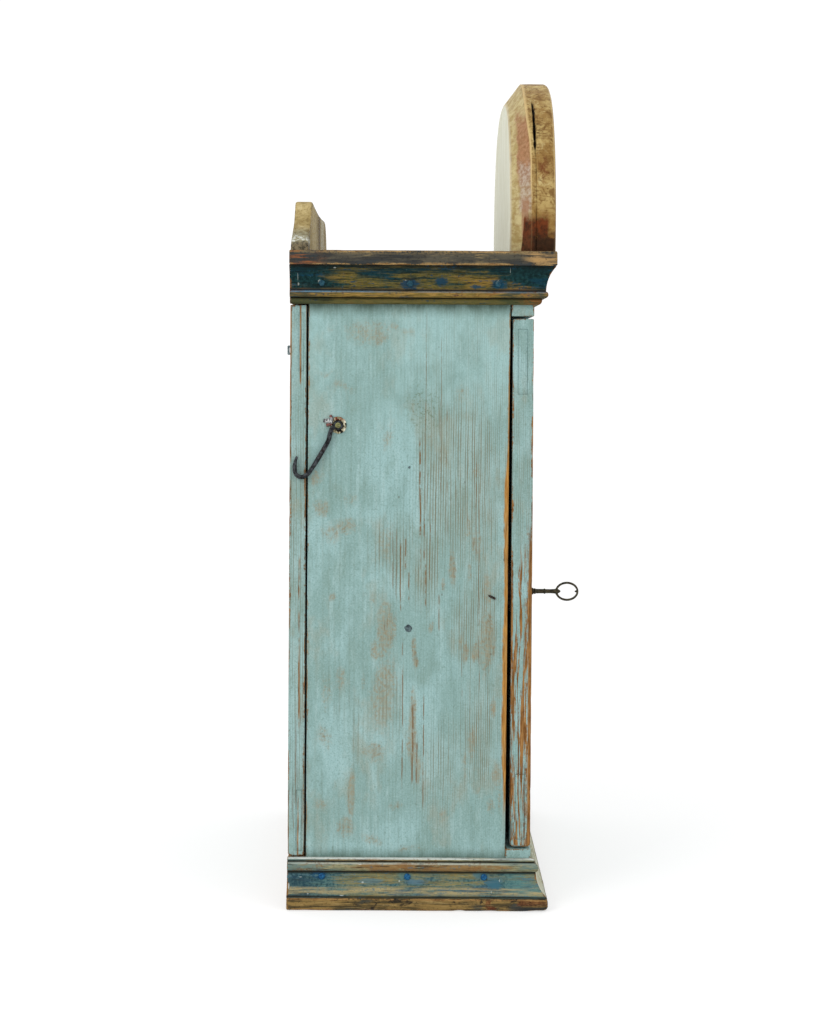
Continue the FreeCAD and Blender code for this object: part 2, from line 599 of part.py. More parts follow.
# ---------------------------------------------------------------- side hook
# a cupped washer with a rolled rim, and a riveted pin that the hook's eye turns on
rim = Part.makeTorus(8.3, 1.6, V(-220.2, HOOK_Y, HOOK_Z), V(1, 0, 0))
rim = cut(rim, [box(-220.0, -210.0, HOOK_Y - 20, HOOK_Y + 20, HOOK_Z - 20, HOOK_Z + 20)])
pivot = fuse([
    hook_screw_shank,
    cyl((-220.0, HOOK_Y, HOOK_Z), (-1, 0, 0), 8.3, 1.0),
    rim,
    cyl((-220.5, HOOK_Y, HOOK_Z), (-1, 0, 0), 2.42, 5.5),
    Part.makeCone(3.1, 1.7, 1.4, V(-225.9, HOOK_Y, HOOK_Z), V(-1, 0, 0)),
])


def torn_end(y0, z0, y1, z1, r):
    """A torn end of the washer, hammered down on the board."""
    a, b = V(-220.0 - r, y0, z0), V(-220.0 - r, y1, z1)
    return fuse([Part.makeCylinder(r, (b - a).Length, a, b - a), Part.makeSphere(r, b)])


pivot = fuse([pivot, torn_end(94.9, 532.9, 105.6, 534.2, 0.95), torn_end(95.6, 534.0, 98.5, 539.8, 0.85),
              torn_end(96.4, 531.2, 102.6, 528.4, 0.85)])
put("hook_pivot", pivot)

HOOK_WIRE = 2.5
HOOK_CROOK = 2.4
HOOK_TIP = 1.5


def hp(y, z):
    return V(HOOK_X, y, z)


def bar(a, b, r_a, r_b):
    d = b - a
    if abs(r_a - r_b) < 1e-6:
        return Part.makeCylinder(r_a, d.Length, a, d)
    return Part.makeCone(r_a, r_b, d.Length, a, d)


CROOK_C = hp(129.6, 479.3)
CROOK_R = 7.4
th0, th1 = math.radians(212.8), math.radians(372.7)
bend_a, bend_b = hp(97.6, 522.3), hp(101.6, 509.1)
crook_a = CROOK_C + V(0, CROOK_R * math.cos(th0), CROOK_R * math.sin(th0))
crook_b = CROOK_C + V(0, CROOK_R * math.cos(th1), CROOK_R * math.sin(th1))
ring = Part.Face(Part.Wire([Part.makeCircle(HOOK_CROOK, crook_a, V(0, -math.sin(th0), math.cos(th0)))]))
crook = ring.revolve(CROOK_C, V(1, 0, 0), math.degrees(th1 - th0))
eye = Part.makeTorus(3.85, 1.35, hp(HOOK_Y, HOOK_Z), V(1, 0, 0))
put("hook", fuse([
    eye,
    bar(hp(93.98, 527.25), bend_a, HOOK_WIRE, HOOK_WIRE), Part.makeSphere(HOOK_WIRE + 0.06, bend_a),
    bar(bend_a, bend_b, HOOK_WIRE, HOOK_WIRE), Part.makeSphere(HOOK_WIRE + 0.06, bend_b),
    bar(bend_b, crook_a, HOOK_WIRE, HOOK_CROOK), Part.makeSphere(HOOK_CROOK + 0.08, crook_a), crook,
    Part.makeSphere(HOOK_CROOK + 0.08, crook_b), bar(crook_b, hp(134.3, 494.9), HOOK_CROOK, HOOK_TIP),
]))
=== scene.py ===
import bmesh
import bpy
import math
from mathutils import Matrix, Vector, noise


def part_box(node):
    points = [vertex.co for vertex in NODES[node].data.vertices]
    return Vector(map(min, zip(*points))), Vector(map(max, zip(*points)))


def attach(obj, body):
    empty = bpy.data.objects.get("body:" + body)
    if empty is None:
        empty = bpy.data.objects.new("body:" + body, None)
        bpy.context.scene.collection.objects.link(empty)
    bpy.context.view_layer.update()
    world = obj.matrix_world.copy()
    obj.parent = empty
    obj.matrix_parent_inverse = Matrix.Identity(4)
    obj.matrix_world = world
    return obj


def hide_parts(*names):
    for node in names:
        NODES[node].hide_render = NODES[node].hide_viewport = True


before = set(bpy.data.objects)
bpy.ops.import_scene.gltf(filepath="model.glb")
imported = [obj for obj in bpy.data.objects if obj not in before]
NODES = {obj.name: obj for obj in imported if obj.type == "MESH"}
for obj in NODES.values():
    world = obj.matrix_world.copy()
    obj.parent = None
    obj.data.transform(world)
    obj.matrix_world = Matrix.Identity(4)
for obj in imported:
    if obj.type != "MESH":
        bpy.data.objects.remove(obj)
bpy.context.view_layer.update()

MM = 0.001


# ------------------------------------------------------------------ small helpers
def nz(x, y, z, f=1.0, seed=0.0):
    """Smooth noise, -1..1, of a point in millimetres at frequency f per metre."""
    k = f * MM
    return noise.noise(Vector((x * k + seed * 7.31, y * k - seed * 3.77, z * k + seed * 1.93)))


def smooth01(t):
    t = max(0.0, min(1.0, t))
    return t * t * (3 - 2 * t)


def piece(name, verts, faces, body, mat, nodes=(), attrs=None, smooth=True, angle=None):
    """A mesh in the row frame; verts in millimetres."""
    me = bpy.data.meshes.new(name)
    me.from_pydata([(v[0] * MM, v[1] * MM, v[2] * MM) for v in verts], [], faces)
    for key, values in (attrs or {}).items():
        a = me.attributes.new(key, "FLOAT", "POINT")
        a.data.foreach_set("value", values)
    me.validate()
    me.update()
    bm = bmesh.new()
    bm.from_mesh(me)
    bmesh.ops.recalc_face_normals(bm, faces=bm.faces[:])
    bm.to_mesh(me)
    bm.free()
    me.update()
    if smooth:
        for p in me.polygons:
            p.use_smooth = True
        if angle is not None:
            me.set_sharp_from_angle(angle=math.radians(angle))
    ob = bpy.data.objects.new(name, me)
    bpy.context.scene.collection.objects.link(ob)
    for m in mat if isinstance(mat, (list, tuple)) else [mat]:
        me.materials.append(m)
    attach(ob, body)
    if nodes:
        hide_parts(*nodes)
    return ob


def loops(lo, hi, step, extra=()):
    """Grid lines from lo to hi: close together near both ends, step apart between."""
    span = hi - lo
    near = [0.0, 0.35, 0.8, 1.5, 2.6, 4.2, 6.5]
    near = [n for n in near if n < span * 0.45]
    out = [lo + n for n in near] + [hi - n for n in near]
    a, b = lo + near[-1], hi - near[-1]
    n = max(1, int(round((b - a) / step)))
    out += [a + (b - a) * i / n for i in range(1, n)]
    for e in extra:
        if lo < e < hi:
            out.append(e)
    out = sorted(out)
    clean = [out[0]]
    for v in out[1:]:
        if v - clean[-1] > 0.06:
            clean.append(v)
    clean[-1] = hi
    return clean


def board_grid(lo, hi, steps, radius, seed, extra=((), (), ()), carve=None, warp=None, wave=0.25, chips=0.6, r_of=None):
    """A worn, slightly uneven board: a box with a grid on every face, arrises rounded by an amount
    that changes along them, and optional carving (depth in mm, along the inward normal)."""
    xs = loops(lo[0], hi[0], steps[0], extra[0])
    ys = loops(lo[1], hi[1], steps[1], extra[1])
    zs = loops(lo[2], hi[2], steps[2], extra[2])
    axes = (xs, ys, zs)
    n = [len(a) - 1 for a in axes]
    index = {}
    verts = []
    edge = []
    tag = []

    def vid(i, j, k):
        key = (i, j, k)
        if key in index:
            return index[key]
        p = [xs[i], ys[j], zs[k]]
        d = [min(p[a] - lo[a], hi[a] - p[a]) for a in range(3)]
        sd = sorted(d)
        e = sd[1]
        mx, my, mz = p
        r = radius * (1.0 + 0.55 * nz(mx, my, mz, 16, seed) + chips * max(0.0, nz(mx, my, mz, 60, seed + 3)) ** 2 * 4)
        if r_of is not None:
            r *= r_of(p)
        r = max(0.3, min(r, 0.42 * min(hi[a] - lo[a] for a in range(3))))
        q = [max(lo[a] + r, min(hi[a] - r, p[a])) for a in range(3)]
        v = [p[a] - q[a] for a in range(3)]
        length = math.sqrt(sum(c * c for c in v))
        normal = [0.0, 0.0, 0.0]
        if length > 1e-9:
            normal = [c / length for c in v]
            p = [q[a] + normal[a] * r for a in range(3)]
        depth = wave * (0.5 + 0.5 * nz(mx, my, mz, 7, seed + 5)) * smooth01(e / 12.0)
        t = 0.0
        if carve is not None:
            got = carve(mx, my, mz, d)
            if isinstance(got, tuple):
                depth += got[0]
                t = got[1]
            else:
                depth += got
        p = [p[a] - normal[a] * depth for a in range(3)]
        if warp is not None:
            p = warp(p)
        index[key] = len(verts)
        verts.append(p)
        edge.append(math.exp(-max(0.0, e) / 3.2))
        tag.append(t)
        return index[key]

    faces = []
    for axis in range(3):
        u, w = [a for a in range(3) if a != axis]
        for side in (0, n[axis]):
            for a in range(n[u]):
                for b in range(n[w]):
                    corners = []
                    for da, db in ((0, 0), (1, 0), (1, 1), (0, 1)):
                        c = [0, 0, 0]
                        c[axis] = side
                        c[u] = a + da
                        c[w] = b + db
                        corners.append(vid(*c))
                    flip = (side == 0) ^ (axis == 1)
                    faces.append(corners[::-1] if flip else corners)
    return verts, faces, {"edge": edge, "tag": tag}


def board(name, node, body, mat, slot, steps=(14, 14, 14), radius=1.1, seed=1.0, box=None, **kw):
    if box is None:
        a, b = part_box(node)
        box = ([c * 1000 for c in a], [c * 1000 for c in b])
    verts, faces, attrs = board_grid(box[0], box[1], steps, radius, seed, **kw)
    return piece(name, verts, faces, body, mat, (node,), attrs)


# ------------------------------------------------------------------ shader helpers
class Shader:
    def __init__(self, name):
        self.mat = bpy.data.materials.new(name)
        self.mat.use_nodes = True
        self.t = self.mat.node_tree
        self.t.nodes.clear()
        self.coord = self.new("ShaderNodeTexCoord").outputs["Object"]
        self._sep = None

    def new(self, kind):
        return self.t.nodes.new(kind)

    def put(self, socket, value):
        if isinstance(value, bpy.types.NodeSocket):
            self.t.links.new(value, socket)
        elif value is not None:
            if hasattr(socket.default_value, "__len__") and not hasattr(value, "__len__"):
                value = (value,) * len(socket.default_value)
            if hasattr(value, "__len__") and len(value) == 3 and len(socket.default_value) == 4:
                value = (*value, 1.0)
            socket.default_value = value

    def xyz(self, i):
        if self._sep is None:
            n = self.new("ShaderNodeSeparateXYZ")
            self.put(n.inputs[0], self.coord)
            self._sep = n
        return self._sep.outputs[i]

    def map(self, scale=(1, 1, 1), loc=(0, 0, 0), vec=None):
        n = self.new("ShaderNodeMapping")
        self.put(n.inputs["Vector"], vec or self.coord)
        n.inputs["Location"].default_value = loc
        n.inputs["Scale"].default_value = scale
        return n.outputs[0]

    def noise(self, vec, scale, detail=4.0, rough=0.55, dist=0.0):
        n = self.new("ShaderNodeTexNoise")
        self.put(n.inputs["Vector"], vec)
        n.inputs["Scale"].default_value = scale
        n.inputs["Detail"].default_value = detail
        n.inputs["Roughness"].default_value = rough
        n.inputs["Distortion"].default_value = dist
        return n.outputs[0]

    def vmath(self, op, a, b):
        n = self.new("ShaderNodeVectorMath")
        n.operation = op
        self.put(n.inputs[0], a)
        self.put(n.inputs[1], b)
        return n.outputs[0]

    def warp(self, amount, scale, stretch=(1, 1, 1), loc=(0, 0, 0), detail=2.0):
        """The object's coordinates, pushed about by slow noise (amount per axis in metres)."""
        n = self.new("ShaderNodeTexNoise")
        self.put(n.inputs["Vector"], self.map(stretch, loc))
        n.inputs["Scale"].default_value = scale
        n.inputs["Detail"].default_value = detail
        d = self.vmath("SUBTRACT", n.outputs["Color"], (0.5, 0.5, 0.5))
        return self.vmath("ADD", self.coord, self.vmath("MULTIPLY", d, amount))

    def vor(self, vec, scale, rand=1.0):
        n = self.new("ShaderNodeTexVoronoi")
        n.feature = "F1"
        self.put(n.inputs["Vector"], vec)
        n.inputs["Scale"].default_value = scale
        n.inputs["Randomness"].default_value = rand
        return n.outputs["Distance"]

    def math(self, op, a, b=None, clamp=False):
        n = self.new("ShaderNodeMath")
        n.operation = op
        n.use_clamp = clamp
        self.put(n.inputs[0], a)
        if b is not None:
            self.put(n.inputs[1], b)
        return n.outputs[0]

    def add(self, a, b):
        return self.math("ADD", a, b)

    def mul(self, a, b):
        return self.math("MULTIPLY", a, b)

    def mx(self, a, b):
        return self.math("MAXIMUM", a, b)

    def step(self, value, a, b, lo=0.0, hi=1.0):
        n = self.new("ShaderNodeMapRange")
        n.interpolation_type = "SMOOTHSTEP"
        if a > b:
            a, b, lo, hi = b, a, hi, lo
        self.put(n.inputs["Value"], value)
        n.inputs["From Min"].default_value = a
        n.inputs["From Max"].default_value = b
        n.inputs["To Min"].default_value = lo
        n.inputs["To Max"].default_value = hi
        return n.outputs["Result"]

    def mix(self, fac, a, b):
        n = self.new("ShaderNodeMix")
        n.data_type = "RGBA"
        n.clamp_factor = True
        self.put(n.inputs[0], fac)
        self.put(n.inputs[6], a)
        self.put(n.inputs[7], b)
        return n.outputs[2]

    def vec(self, x, y, z):
        n = self.new("ShaderNodeCombineXYZ")
        for i, v in enumerate((x, y, z)):
            self.put(n.inputs[i], v)
        return n.outputs[0]

    def attr(self, name):
        n = self.new("ShaderNodeAttribute")
        n.attribute_name = name
        return n.outputs["Fac"]

    def blob(self, centre, radii, inner=0.0, outer=1.0, vec=None):
        """1 inside an ellipsoid, falling to 0; millimetres. A radius of None leaves that axis out."""
        sub = self.vmath("SUBTRACT", vec or self.coord, [c * MM for c in centre])
        mul = self.vmath("MULTIPLY", sub, [0.0 if r is None else 1.0 / (r * MM) for r in radii])
        ln = self.new("ShaderNodeVectorMath")
        ln.operation = "LENGTH"
        self.put(ln.inputs[0], mul)
        return self.step(ln.outputs["Value"], outer, inner)

    def band(self, value, centre, half, soft):
        """1 where value is within half of centre, falling to 0 over soft; metres."""
        d = self.math("ABSOLUTE", self.math("SUBTRACT", value, centre))
        return self.step(d, half + soft, half)

    def bump(self, height, strength=0.5, distance=0.001, normal=None):
        n = self.new("ShaderNodeBump")
        n.inputs["Strength"].default_value = strength
        n.inputs["Distance"].default_value = distance
        self.put(n.inputs["Height"], height)
        if normal is not None:
            self.put(n.inputs["Normal"], normal)
        return n.outputs[0]

    def out(self, base, rough, normal=None, metallic=0.0, spec=0.2):
        b = self.new("ShaderNodeBsdfPrincipled")
        self.put(b.inputs["Base Color"], base)
        self.put(b.inputs["Roughness"], rough)
        self.put(b.inputs["Metallic"], metallic)
        b.inputs["Specular IOR Level"].default_value = spec
        if normal is not None:
            self.put(b.inputs["Normal"], normal)
        o = self.new("ShaderNodeOutputMaterial")
        self.t.links.new(b.outputs[0], o.inputs[0])
        return self.mat


GAIN = 0.815


def srgb(r, g, b):
    def lin(c):
        c /= 255.0
        return GAIN * (c / 12.92 if c <= 0.04045 else ((c + 0.055) / 1.055) ** 2.4)
    return (lin(r), lin(g), lin(b))


# grain along an axis: the other two axes keep their scale, this one is stretched
STRETCH = {"X": (0.045, 1, 1), "Y": (1, 0.045, 1), "Z": (1, 1, 0.045)}
STRETCH2 = {"X": (0.012, 1, 1), "Y": (1, 0.012, 1), "Z": (1, 1, 0.012)}
SLOW = {"X": (0.3, 1, 1), "Y": (1, 0.3, 1), "Z": (1, 1, 0.3)}
ACROSS = {"X": (0, 1, 1), "Y": (1, 0, 1), "Z": (1, 1, 0)}


class Grain:
    """The noises that every wooden piece shares: growth lines, fibres, mottling, clouds and smears."""

    def __init__(self, s, grain, seed, wander=0.005, ring=300, wander_scale=6.0):
        off = (seed, seed * 0.37, seed * 0.71)
        a = [c * wander for c in ACROSS[grain]]
        wv = s.warp(a, wander_scale, SLOW[grain], off)
        self.off = off
        self.ring = s.noise(s.map(STRETCH2[grain], off, wv), ring, 3, 0.6)
        self.fibre = s.noise(s.map(STRETCH[grain], off), 1000, 3, 0.65)
        self.mott = s.noise(s.map((1, 1, 1), off), 260, 6, 0.74)
        self.brush = s.noise(s.map({"X": (0.12, 1, 1), "Y": (1, 0.12, 1), "Z": (1, 1, 0.12)}[grain], (off[0] + 9, off[1], off[2])), 140, 5, 0.7, 0.2)
        self.cloud = s.noise(s.map((1, 1, 1), off), 8, 4, 0.55)
        self.smear2 = s.noise(s.map(SLOW[grain], (off[0] + 6, off[1] + 2, off[2])), 48, 6, 0.7, 0.4)


def growth(s, grain, off, spacing=4.2, squeeze=0.0, wander=0.016, ripple=0.0022, start=0.0):
    """Growth lines at an even spacing (mm) across the grain, closing up with squeeze; each line has a strength of its own."""
    i, j, k = {"Z": (0, 1, 2), "X": (1, 2, 0), "Y": (0, 2, 1)}[grain]
    t = s.add(s.xyz(i), s.xyz(j))
    t = s.add(t, s.mul(s.add(s.noise(s.map(SLOW[grain], (off[0] + 2, off[1] + 1, off[2])), 6, 2), -0.5), wander))
    t = s.add(t, s.mul(s.add(s.noise(s.map(SLOW[grain], (off[0] + 5, off[1] + 4, off[2])), 42, 3), -0.5), ripple))
    t = s.math("SUBTRACT", start, t)
    phase = s.mul(t, 1000.0 / spacing)
    if squeeze:
        phase = s.add(phase, s.mul(s.mul(t, t), squeeze))
    phase = s.add(phase, 400.0)
    d = s.math("ABSOLUTE", s.add(s.math("FRACT", phase), -0.5))
    own = s.noise(s.vec(s.mul(s.math("FLOOR", phase), 0.731), s.mul(s.xyz(k), 9.0), off[0]), 1.0, 2, 0.6)
    return s.mul(s.step(d, 0.28, 0.06), s.step(own, 0.36, 0.60, 0.12, 1.0))


WOODS = {
    "gold": ((178, 142, 92), (138, 100, 58)),
    "tan": ((176, 140, 98), (136, 98, 60)),
    "brown": ((156, 122, 82), (108, 76, 46)),
    "orange": ((166, 122, 70), (112, 72, 34)),
    "sand": ((170, 146, 106), (134, 106, 68)),
}


def wood_of(s, g, kind):
    a, b = WOODS[kind]
    col = s.mix(s.step(g.fibre, 0.42, 0.62), srgb(*a), srgb(*b))
    col = s.mix(s.step(g.mott, 0.52, 0.72, 0, 0.5), col, srgb(*[c * 0.72 for c in b]))
    return s.mix(s.step(g.ring, 0.55, 0.66, 0, 0.6), col, srgb(*[c * 0.62 for c in b]))


# light blue worn paint on the near side board: (Y, Z), (half width, half height), strength
PATCHES = [
    ((58.1, 630.3), (24.2, 14.3), 0.52), ((42.6, 621.6), (8.8, 8.8), 0.62), ((27.3, 634.9), (4.4, 5.5), 0.6), ((16.3, 633.8), (3.3, 4.4), 0.6), ((9.7, 635), (3.3, 4.4), 0.6),
    ((96.6, 636.6), (5.5, 7.7), 0.35), ((104, 588.2), (11, 4.4), 0.35), ((85.2, 571.8), (17.6, 5.5), 0.38), ((36.4, 516), (6.6, 17.6), 0.42), ((112.1, 472.6), (6.6, 9.9), 0.62),
    ((108.5, 437.4), (7.7, 12.1), 0.66), ((76.7, 445.3), (7.7, 9.9), 0.42), ((82, 415.6), (9.9, 9.9), 0.62), ((98.4, 410), (13.2, 15.4), 0.4), ((37.9, 401.6), (9.9, 28.6), 0.4),
    ((96.9, 344), (4.4, 5.5), 0.45), ((36.2, 304.8), (8.8, 29.7), 0.8), ((47, 286), (7.7, 11), 0.6), ((37.9, 231.1), (14.3, 44), 0.58), ((51.8, 335.5), (4.4, 8.8), 0.4),
    ((88.6, 251.7), (5.5, 15.4), 0.52), ((100.6, 236.2), (6.6, 26.4), 0.45), ((102.5, 186.7), (8.8, 15.4), 0.42), ((60, 247.4), (3.3, 15.4), 0.35), ((46.3, 170.5), (8.8, 11), 0.66),
    ((59.5, 168.2), (4.4, 6.6), 0.45), ((73.5, 124.1), (3.3, 28.6), 0.66), ((79.8, 84.5), (9.9, 13.2), 0.6), ((50.1, 73.7), (13.2, 6.6), 0.42), ((105.3, 108.5), (9.9, 7.7), 0.45),
    ((23.9, 111.3), (9.9, 5.5), 0.42), ((5.2, 275.3), (2.4, 17.6), 0.62), ((5.8, 198.3), (3.3, 37.4), 0.85), ((1, 148.8), (2.4, 15.4), 0.7), ((7.8, 176.3), (3.3, 22), 0.6),
    ((2.9, 267.6), (2.6, 6.6), 0.85), ((-36, 374.6), (3.3, 20.9), 0.75), ((-26.2, 355.8), (2.4, 7.7), 0.6), ((-55.8, 367), (2.4, 11), 0.55), ((-52, 279), (2.6, 9.9), 0.8),
    ((-60.8, 281.2), (4.4, 11), 0.7), ((-46.4, 292.1), (2.2, 8.8), 0.6), ((-73.9, 292.3), (8.8, 37.4), 0.66), ((-76.2, 275.8), (5.5, 15.4), 0.6), ((-82.1, 220.9), (3.3, 11), 0.8),
    ((-87, 143.9), (5.5, 17.6), 0.6), ((-79.5, 107.5), (4.4, 9.9), 0.55), ((-90.5, 116.4), (3.3, 15.4), 0.5), ((-51.7, 154.7), (3.3, 19.8), 0.45), ((-60.3, 182.2), (5.5, 22), 0.42),
    ((-29, 102.8), (7.7, 9.9), 0.4), ((-65.1, 127.3), (3.3, 6.6), 0.45), ((-15.5, 308.4), (2.2, 5.5), 0.5), ((-10.9, 511.9), (6.6, 15.4), 0.32), ((8, 547), (3.3, 17.6), 0.42),
    ((-46.9, 560.6), (7.7, 17.6), 0.42), ((-62.8, 479.3), (4.4, 13.2), 0.4), ((-53.3, 413.2), (5.5, 17.6), 0.42), ((-63.3, 396.8), (6.6, 19.8), 0.45), ((-74.7, 347.3), (5.5, 22), 0.5),
    ((7.1, 60.8), (15.4, 5.5), 0.4),
]
# areas where the growth lines show brown through the paint
ZONES = [
    ((-43.2, 622), (58, 52), 0.36), ((-85, 560), (22, 60), 0.5),
    ((-55.2, 468.2), (39.6, 121), 1), ((-22.1, 479), (26.4, 121), 0.95), ((-6.3, 379.9), (24.2, 66), 0.75), ((-65, 314.3), (30.8, 77), 0.85), ((-67.9, 204.3), (26.4, 88), 0.75),
    ((21.3, 385.2), (19.8, 50.6), 0.6), ((29, 225.6), (17.6, 66), 0.5), ((-24.2, 160), (44, 66), 0.55), ((43.4, 396.1), (17.6, 39.6), 0.5), ((80.6, 203.3), (26.4, 55), 0.35),
    ((-21.3, 600), (33, 50.6), 0.42), ((-76.5, 578.3), (17.6, 44), 0.4),
]
# single worn lines: Y, Z from, Z to, half width, strength
LINES = [
    (-0.8, 402, 517, 0.77, 0.95), (20.4, 322, 402, 0.55, 0.8), (17.6, 127, 298, 0.55, 0.75), (-5.8, 103, 237, 0.5, 0.8), (-5.2, 380, 435, 0.61, 0.85),
    (-6.9, 329, 380, 0.66, 0.8), (15.2, 369, 407, 0.66, 0.75), (11.2, 336, 369, 0.66, 0.8), (-22, 301, 349, 0.55, 0.75), (6.2, 132, 226, 0.88, 0.8),
    (-11.7, 352, 440, 0.44, 0.6), (-1.3, 369, 402, 0.5, 0.6), (25.1, 336, 424, 0.39, 0.55), (28.9, 347, 424, 0.39, 0.5), (-62, 380, 496, 0.5, 0.6),
    (-65.8, 226, 479, 0.44, 0.6), (-6.3, 424, 666, 0.33, 0.45), (-22.8, 446, 633, 0.39, 0.5), (-29.8, 402, 556, 0.39, 0.5), (-47.6, 226, 336, 0.39, 0.45),
    (1.6, 132, 182, 0.66, 0.75),
]


def blue_paint(name, grain="Z", seed=0.0, patches=(), zones=(), lines=(), wear=0.0, wood="brown", special=None, edge_wear=1.0, shade_and_dirt=None,
               wander=0.005, ring=300, wander_scale=6.0, rings=(4.2,)):
    """Thin light blue paint on pine, rubbed through along the grain, at the arrises and in patches."""
    s = Shader(name)
    g = Grain(s, grain, seed, wander, ring, wander_scale)
    timber = wood_of(s, g, wood)
    late = growth(s, grain, g.off, *rings)
    rough_edge = s.warp((0.014, 0.014, 0.026), 46, SLOW[grain], (g.off[0] + 1, g.off[1], g.off[2]), 4)
    haze = s.noise(s.map((1, 1, 0.8), g.off, rough_edge), 17, 5, 0.6)
    haze2 = s.noise(s.map((1, 1, 0.7), (g.off[0] + 4, g.off[1] + 4, 0), rough_edge), 36, 5, 0.65)
    thin = s.noise(s.map((1, 1, 0.5), (g.off[0] + 8, g.off[1] + 2, 0), rough_edge), 24, 5, 0.65)
    grit = s.noise(s.map((1, 1, 1), g.off), 560, 3, 0.7)
    paint = s.mix(s.step(haze, 0.42, 0.60), srgb(139, 171, 167), srgb(154, 188, 187))
    paint = s.mix(s.step(haze2, 0.50, 0.72, 0, 0.45), paint, srgb(165, 198, 198))
    paint = s.mix(s.step(haze2, 0.48, 0.32, 0, 0.48), paint, srgb(128, 156, 147))
    paint = s.mix(s.step(thin, 0.53, 0.68, 0, 0.50), paint, srgb(154, 160, 144))
    paint = s.mix(s.step(g.brush, 0.53, 0.68, 0, 0.45), paint, srgb(172, 202, 201))
    paint = s.mix(s.step(g.brush, 0.48, 0.33, 0, 0.45), paint, srgb(120, 149, 142))
    paint = s.mix(s.step(grit, 0.50, 0.32, 0, 0.55), paint, srgb(112, 142, 134))
    paint = s.mix(s.step(grit, 0.54, 0.70, 0, 0.40), paint, srgb(178, 205, 203))
    paint = s.mix(s.step(g.mott, 0.46, 0.30, 0, 0.60), paint, srgb(112, 138, 128))
    paint = s.mix(s.mul(late, 0.20), paint, srgb(112, 132, 118))
    # where the paint has gone
    fret = s.add(s.mul(g.smear2, 0.5), s.add(s.mul(g.mott, 0.3), s.mul(g.fibre, 0.2)))
    mask = s.step(fret, 0.57 - wear, 0.74 - wear, 0, 0.6)
    ragged_n = s.add(s.mul(g.smear2, 0.40), s.add(s.mul(g.brush, 0.35), s.mul(g.fibre, 0.25)))
    soft = None
    for centre, radii, power in patches:
        b = s.mul(s.blob((0, centre[0], centre[1]), (None, radii[0] * 2.0, radii[1] * 1.8), 0.0, 1.0, rough_edge), power)
        soft = b if soft is None else s.mx(soft, b)
    if soft is not None:
        field = s.add(soft, s.add(s.mul(s.add(ragged_n, -0.5), 2.2), s.mul(s.add(g.mott, -0.5), 1.3)))
        soft = s.mul(s.step(field, 0.06, 0.70), s.step(soft, 0.02, 0.42))
        core = s.mul(s.step(field, 0.52, 0.98), s.step(soft, 0.1, 0.5))
        mask = s.mx(mask, s.mul(core, 0.36))
    zone = None
    for centre, radii, power in zones:
        b = s.mul(s.blob((0, centre[0], centre[1]), (None, radii[0] * 1.6, radii[1] * 1.45), 0.0, 1.0, rough_edge), power)
        zone = b if zone is None else s.mx(zone, b)
    line = None
    if lines:
        y = s.add(s.xyz(1), s.mul(s.add(s.noise(s.map((1, 1, 1), (1, 2, 3)), 9, 3), -0.5), 0.006))
        y = s.add(y, s.mul(s.add(s.noise(s.map((1, 1, 0.4), (4, 2, 3)), 60, 3), -0.5), 0.0014))
        broken = s.step(s.noise(s.map((1, 1, 1), (7, 7, 7)), 70, 4, 0.6), 0.36, 0.54)
        for ly, z0, z1, half, power in lines:
            m = s.mul(s.band(y, ly * MM, half * MM * 0.7, half * MM * 0.8), s.mul(s.band(s.xyz(2), (z0 + z1) * 0.5 * MM, (z1 - z0) * 0.4 * MM, (z1 - z0) * 0.1 * MM), power))
            line = m if line is None else s.mx(line, m)
        line = s.mul(line, broken)
    e = s.attr("edge")
    worn = s.mul(e, s.step(fret, 0.40, 0.62, 0.25, 1.5))
    mask = s.mx(mask, s.mul(s.step(worn, 0.45, 0.95), edge_wear))
    if special is not None:
        mask = special(s, g, mask, fret)
    # fibres break the border of every worn place
    m = s.step(s.add(mask, s.mul(s.add(g.fibre, -0.5), 0.9)), 0.18, 0.88)
    if zone is not None:
        bare = s.step(s.add(zone, s.mul(s.add(s.add(s.mul(g.smear2, 0.5), s.mul(thin, 0.5)), -0.5), 1.2)), 0.06, 0.88)
        paint = s.mix(s.mul(bare, 0.16), paint, srgb(150, 152, 132))
        paint = s.mix(s.mul(bare, s.mul(late, 0.85)), paint, s.mix(g.cloud, srgb(98, 98, 76), srgb(118, 102, 68)))
        paint = s.mix(s.mul(bare, s.step(g.fibre, 0.50, 0.66, 0, 0.30)), paint, srgb(146, 130, 98))
    if soft is not None:
        stain = s.mix(s.step(g.fibre, 0.42, 0.62), srgb(154, 142, 112), srgb(122, 104, 72))
        stain = s.mix(s.step(thin, 0.42, 0.58, 0, 0.6), stain, srgb(148, 146, 126))
        speck = s.step(s.add(s.mul(g.mott, 0.6), s.mul(grit, 0.4)), 0.40, 0.60, 0.45, 1.25)
        paint = s.mix(s.mul(soft, s.mul(speck, 0.68)), paint, stain)
    if lines:
        lift = s.mul(s.step(s.xyz(2), 0.48, 0.60), s.step(haze, 0.38, 0.56, 0.06, 0.28))
        paint = s.mix(lift, paint, srgb(164, 201, 198))
        moss = s.mul(s.blob((0, -4, 548), (None, 40, 62), 0.0, 1.0, rough_edge), s.step(s.add(s.mul(grit, 0.4), s.mul(g.mott, 0.6)), 0.50, 0.60, 0, 0.9))
        paint = s.mix(moss, paint, srgb(100, 120, 98))
    half_gone = s.mix(0.45, timber, paint)
    col = s.mix(s.step(m, 0.0, 0.55), paint, half_gone)
    col = s.mix(s.step(m, 0.5, 1.0), col, timber)
    if line is not None:
        col = s.mix(line, col, s.mix(g.mott, srgb(140, 108, 66), srgb(96, 70, 42)))
    gold = getattr(s, "gold", None)
    if gold is not None:
        col = s.mix(s.mul(gold, s.step(g.smear2, 0.34, 0.52, 0.55, 0.95)), col, s.mix(s.step(g.fibre, 0.40, 0.62), srgb(194, 144, 74), srgb(148, 96, 38)))
    specks = s.step(s.vor(s.map((1, 1, 0.7), g.off), 60), 0.07, 0.04)
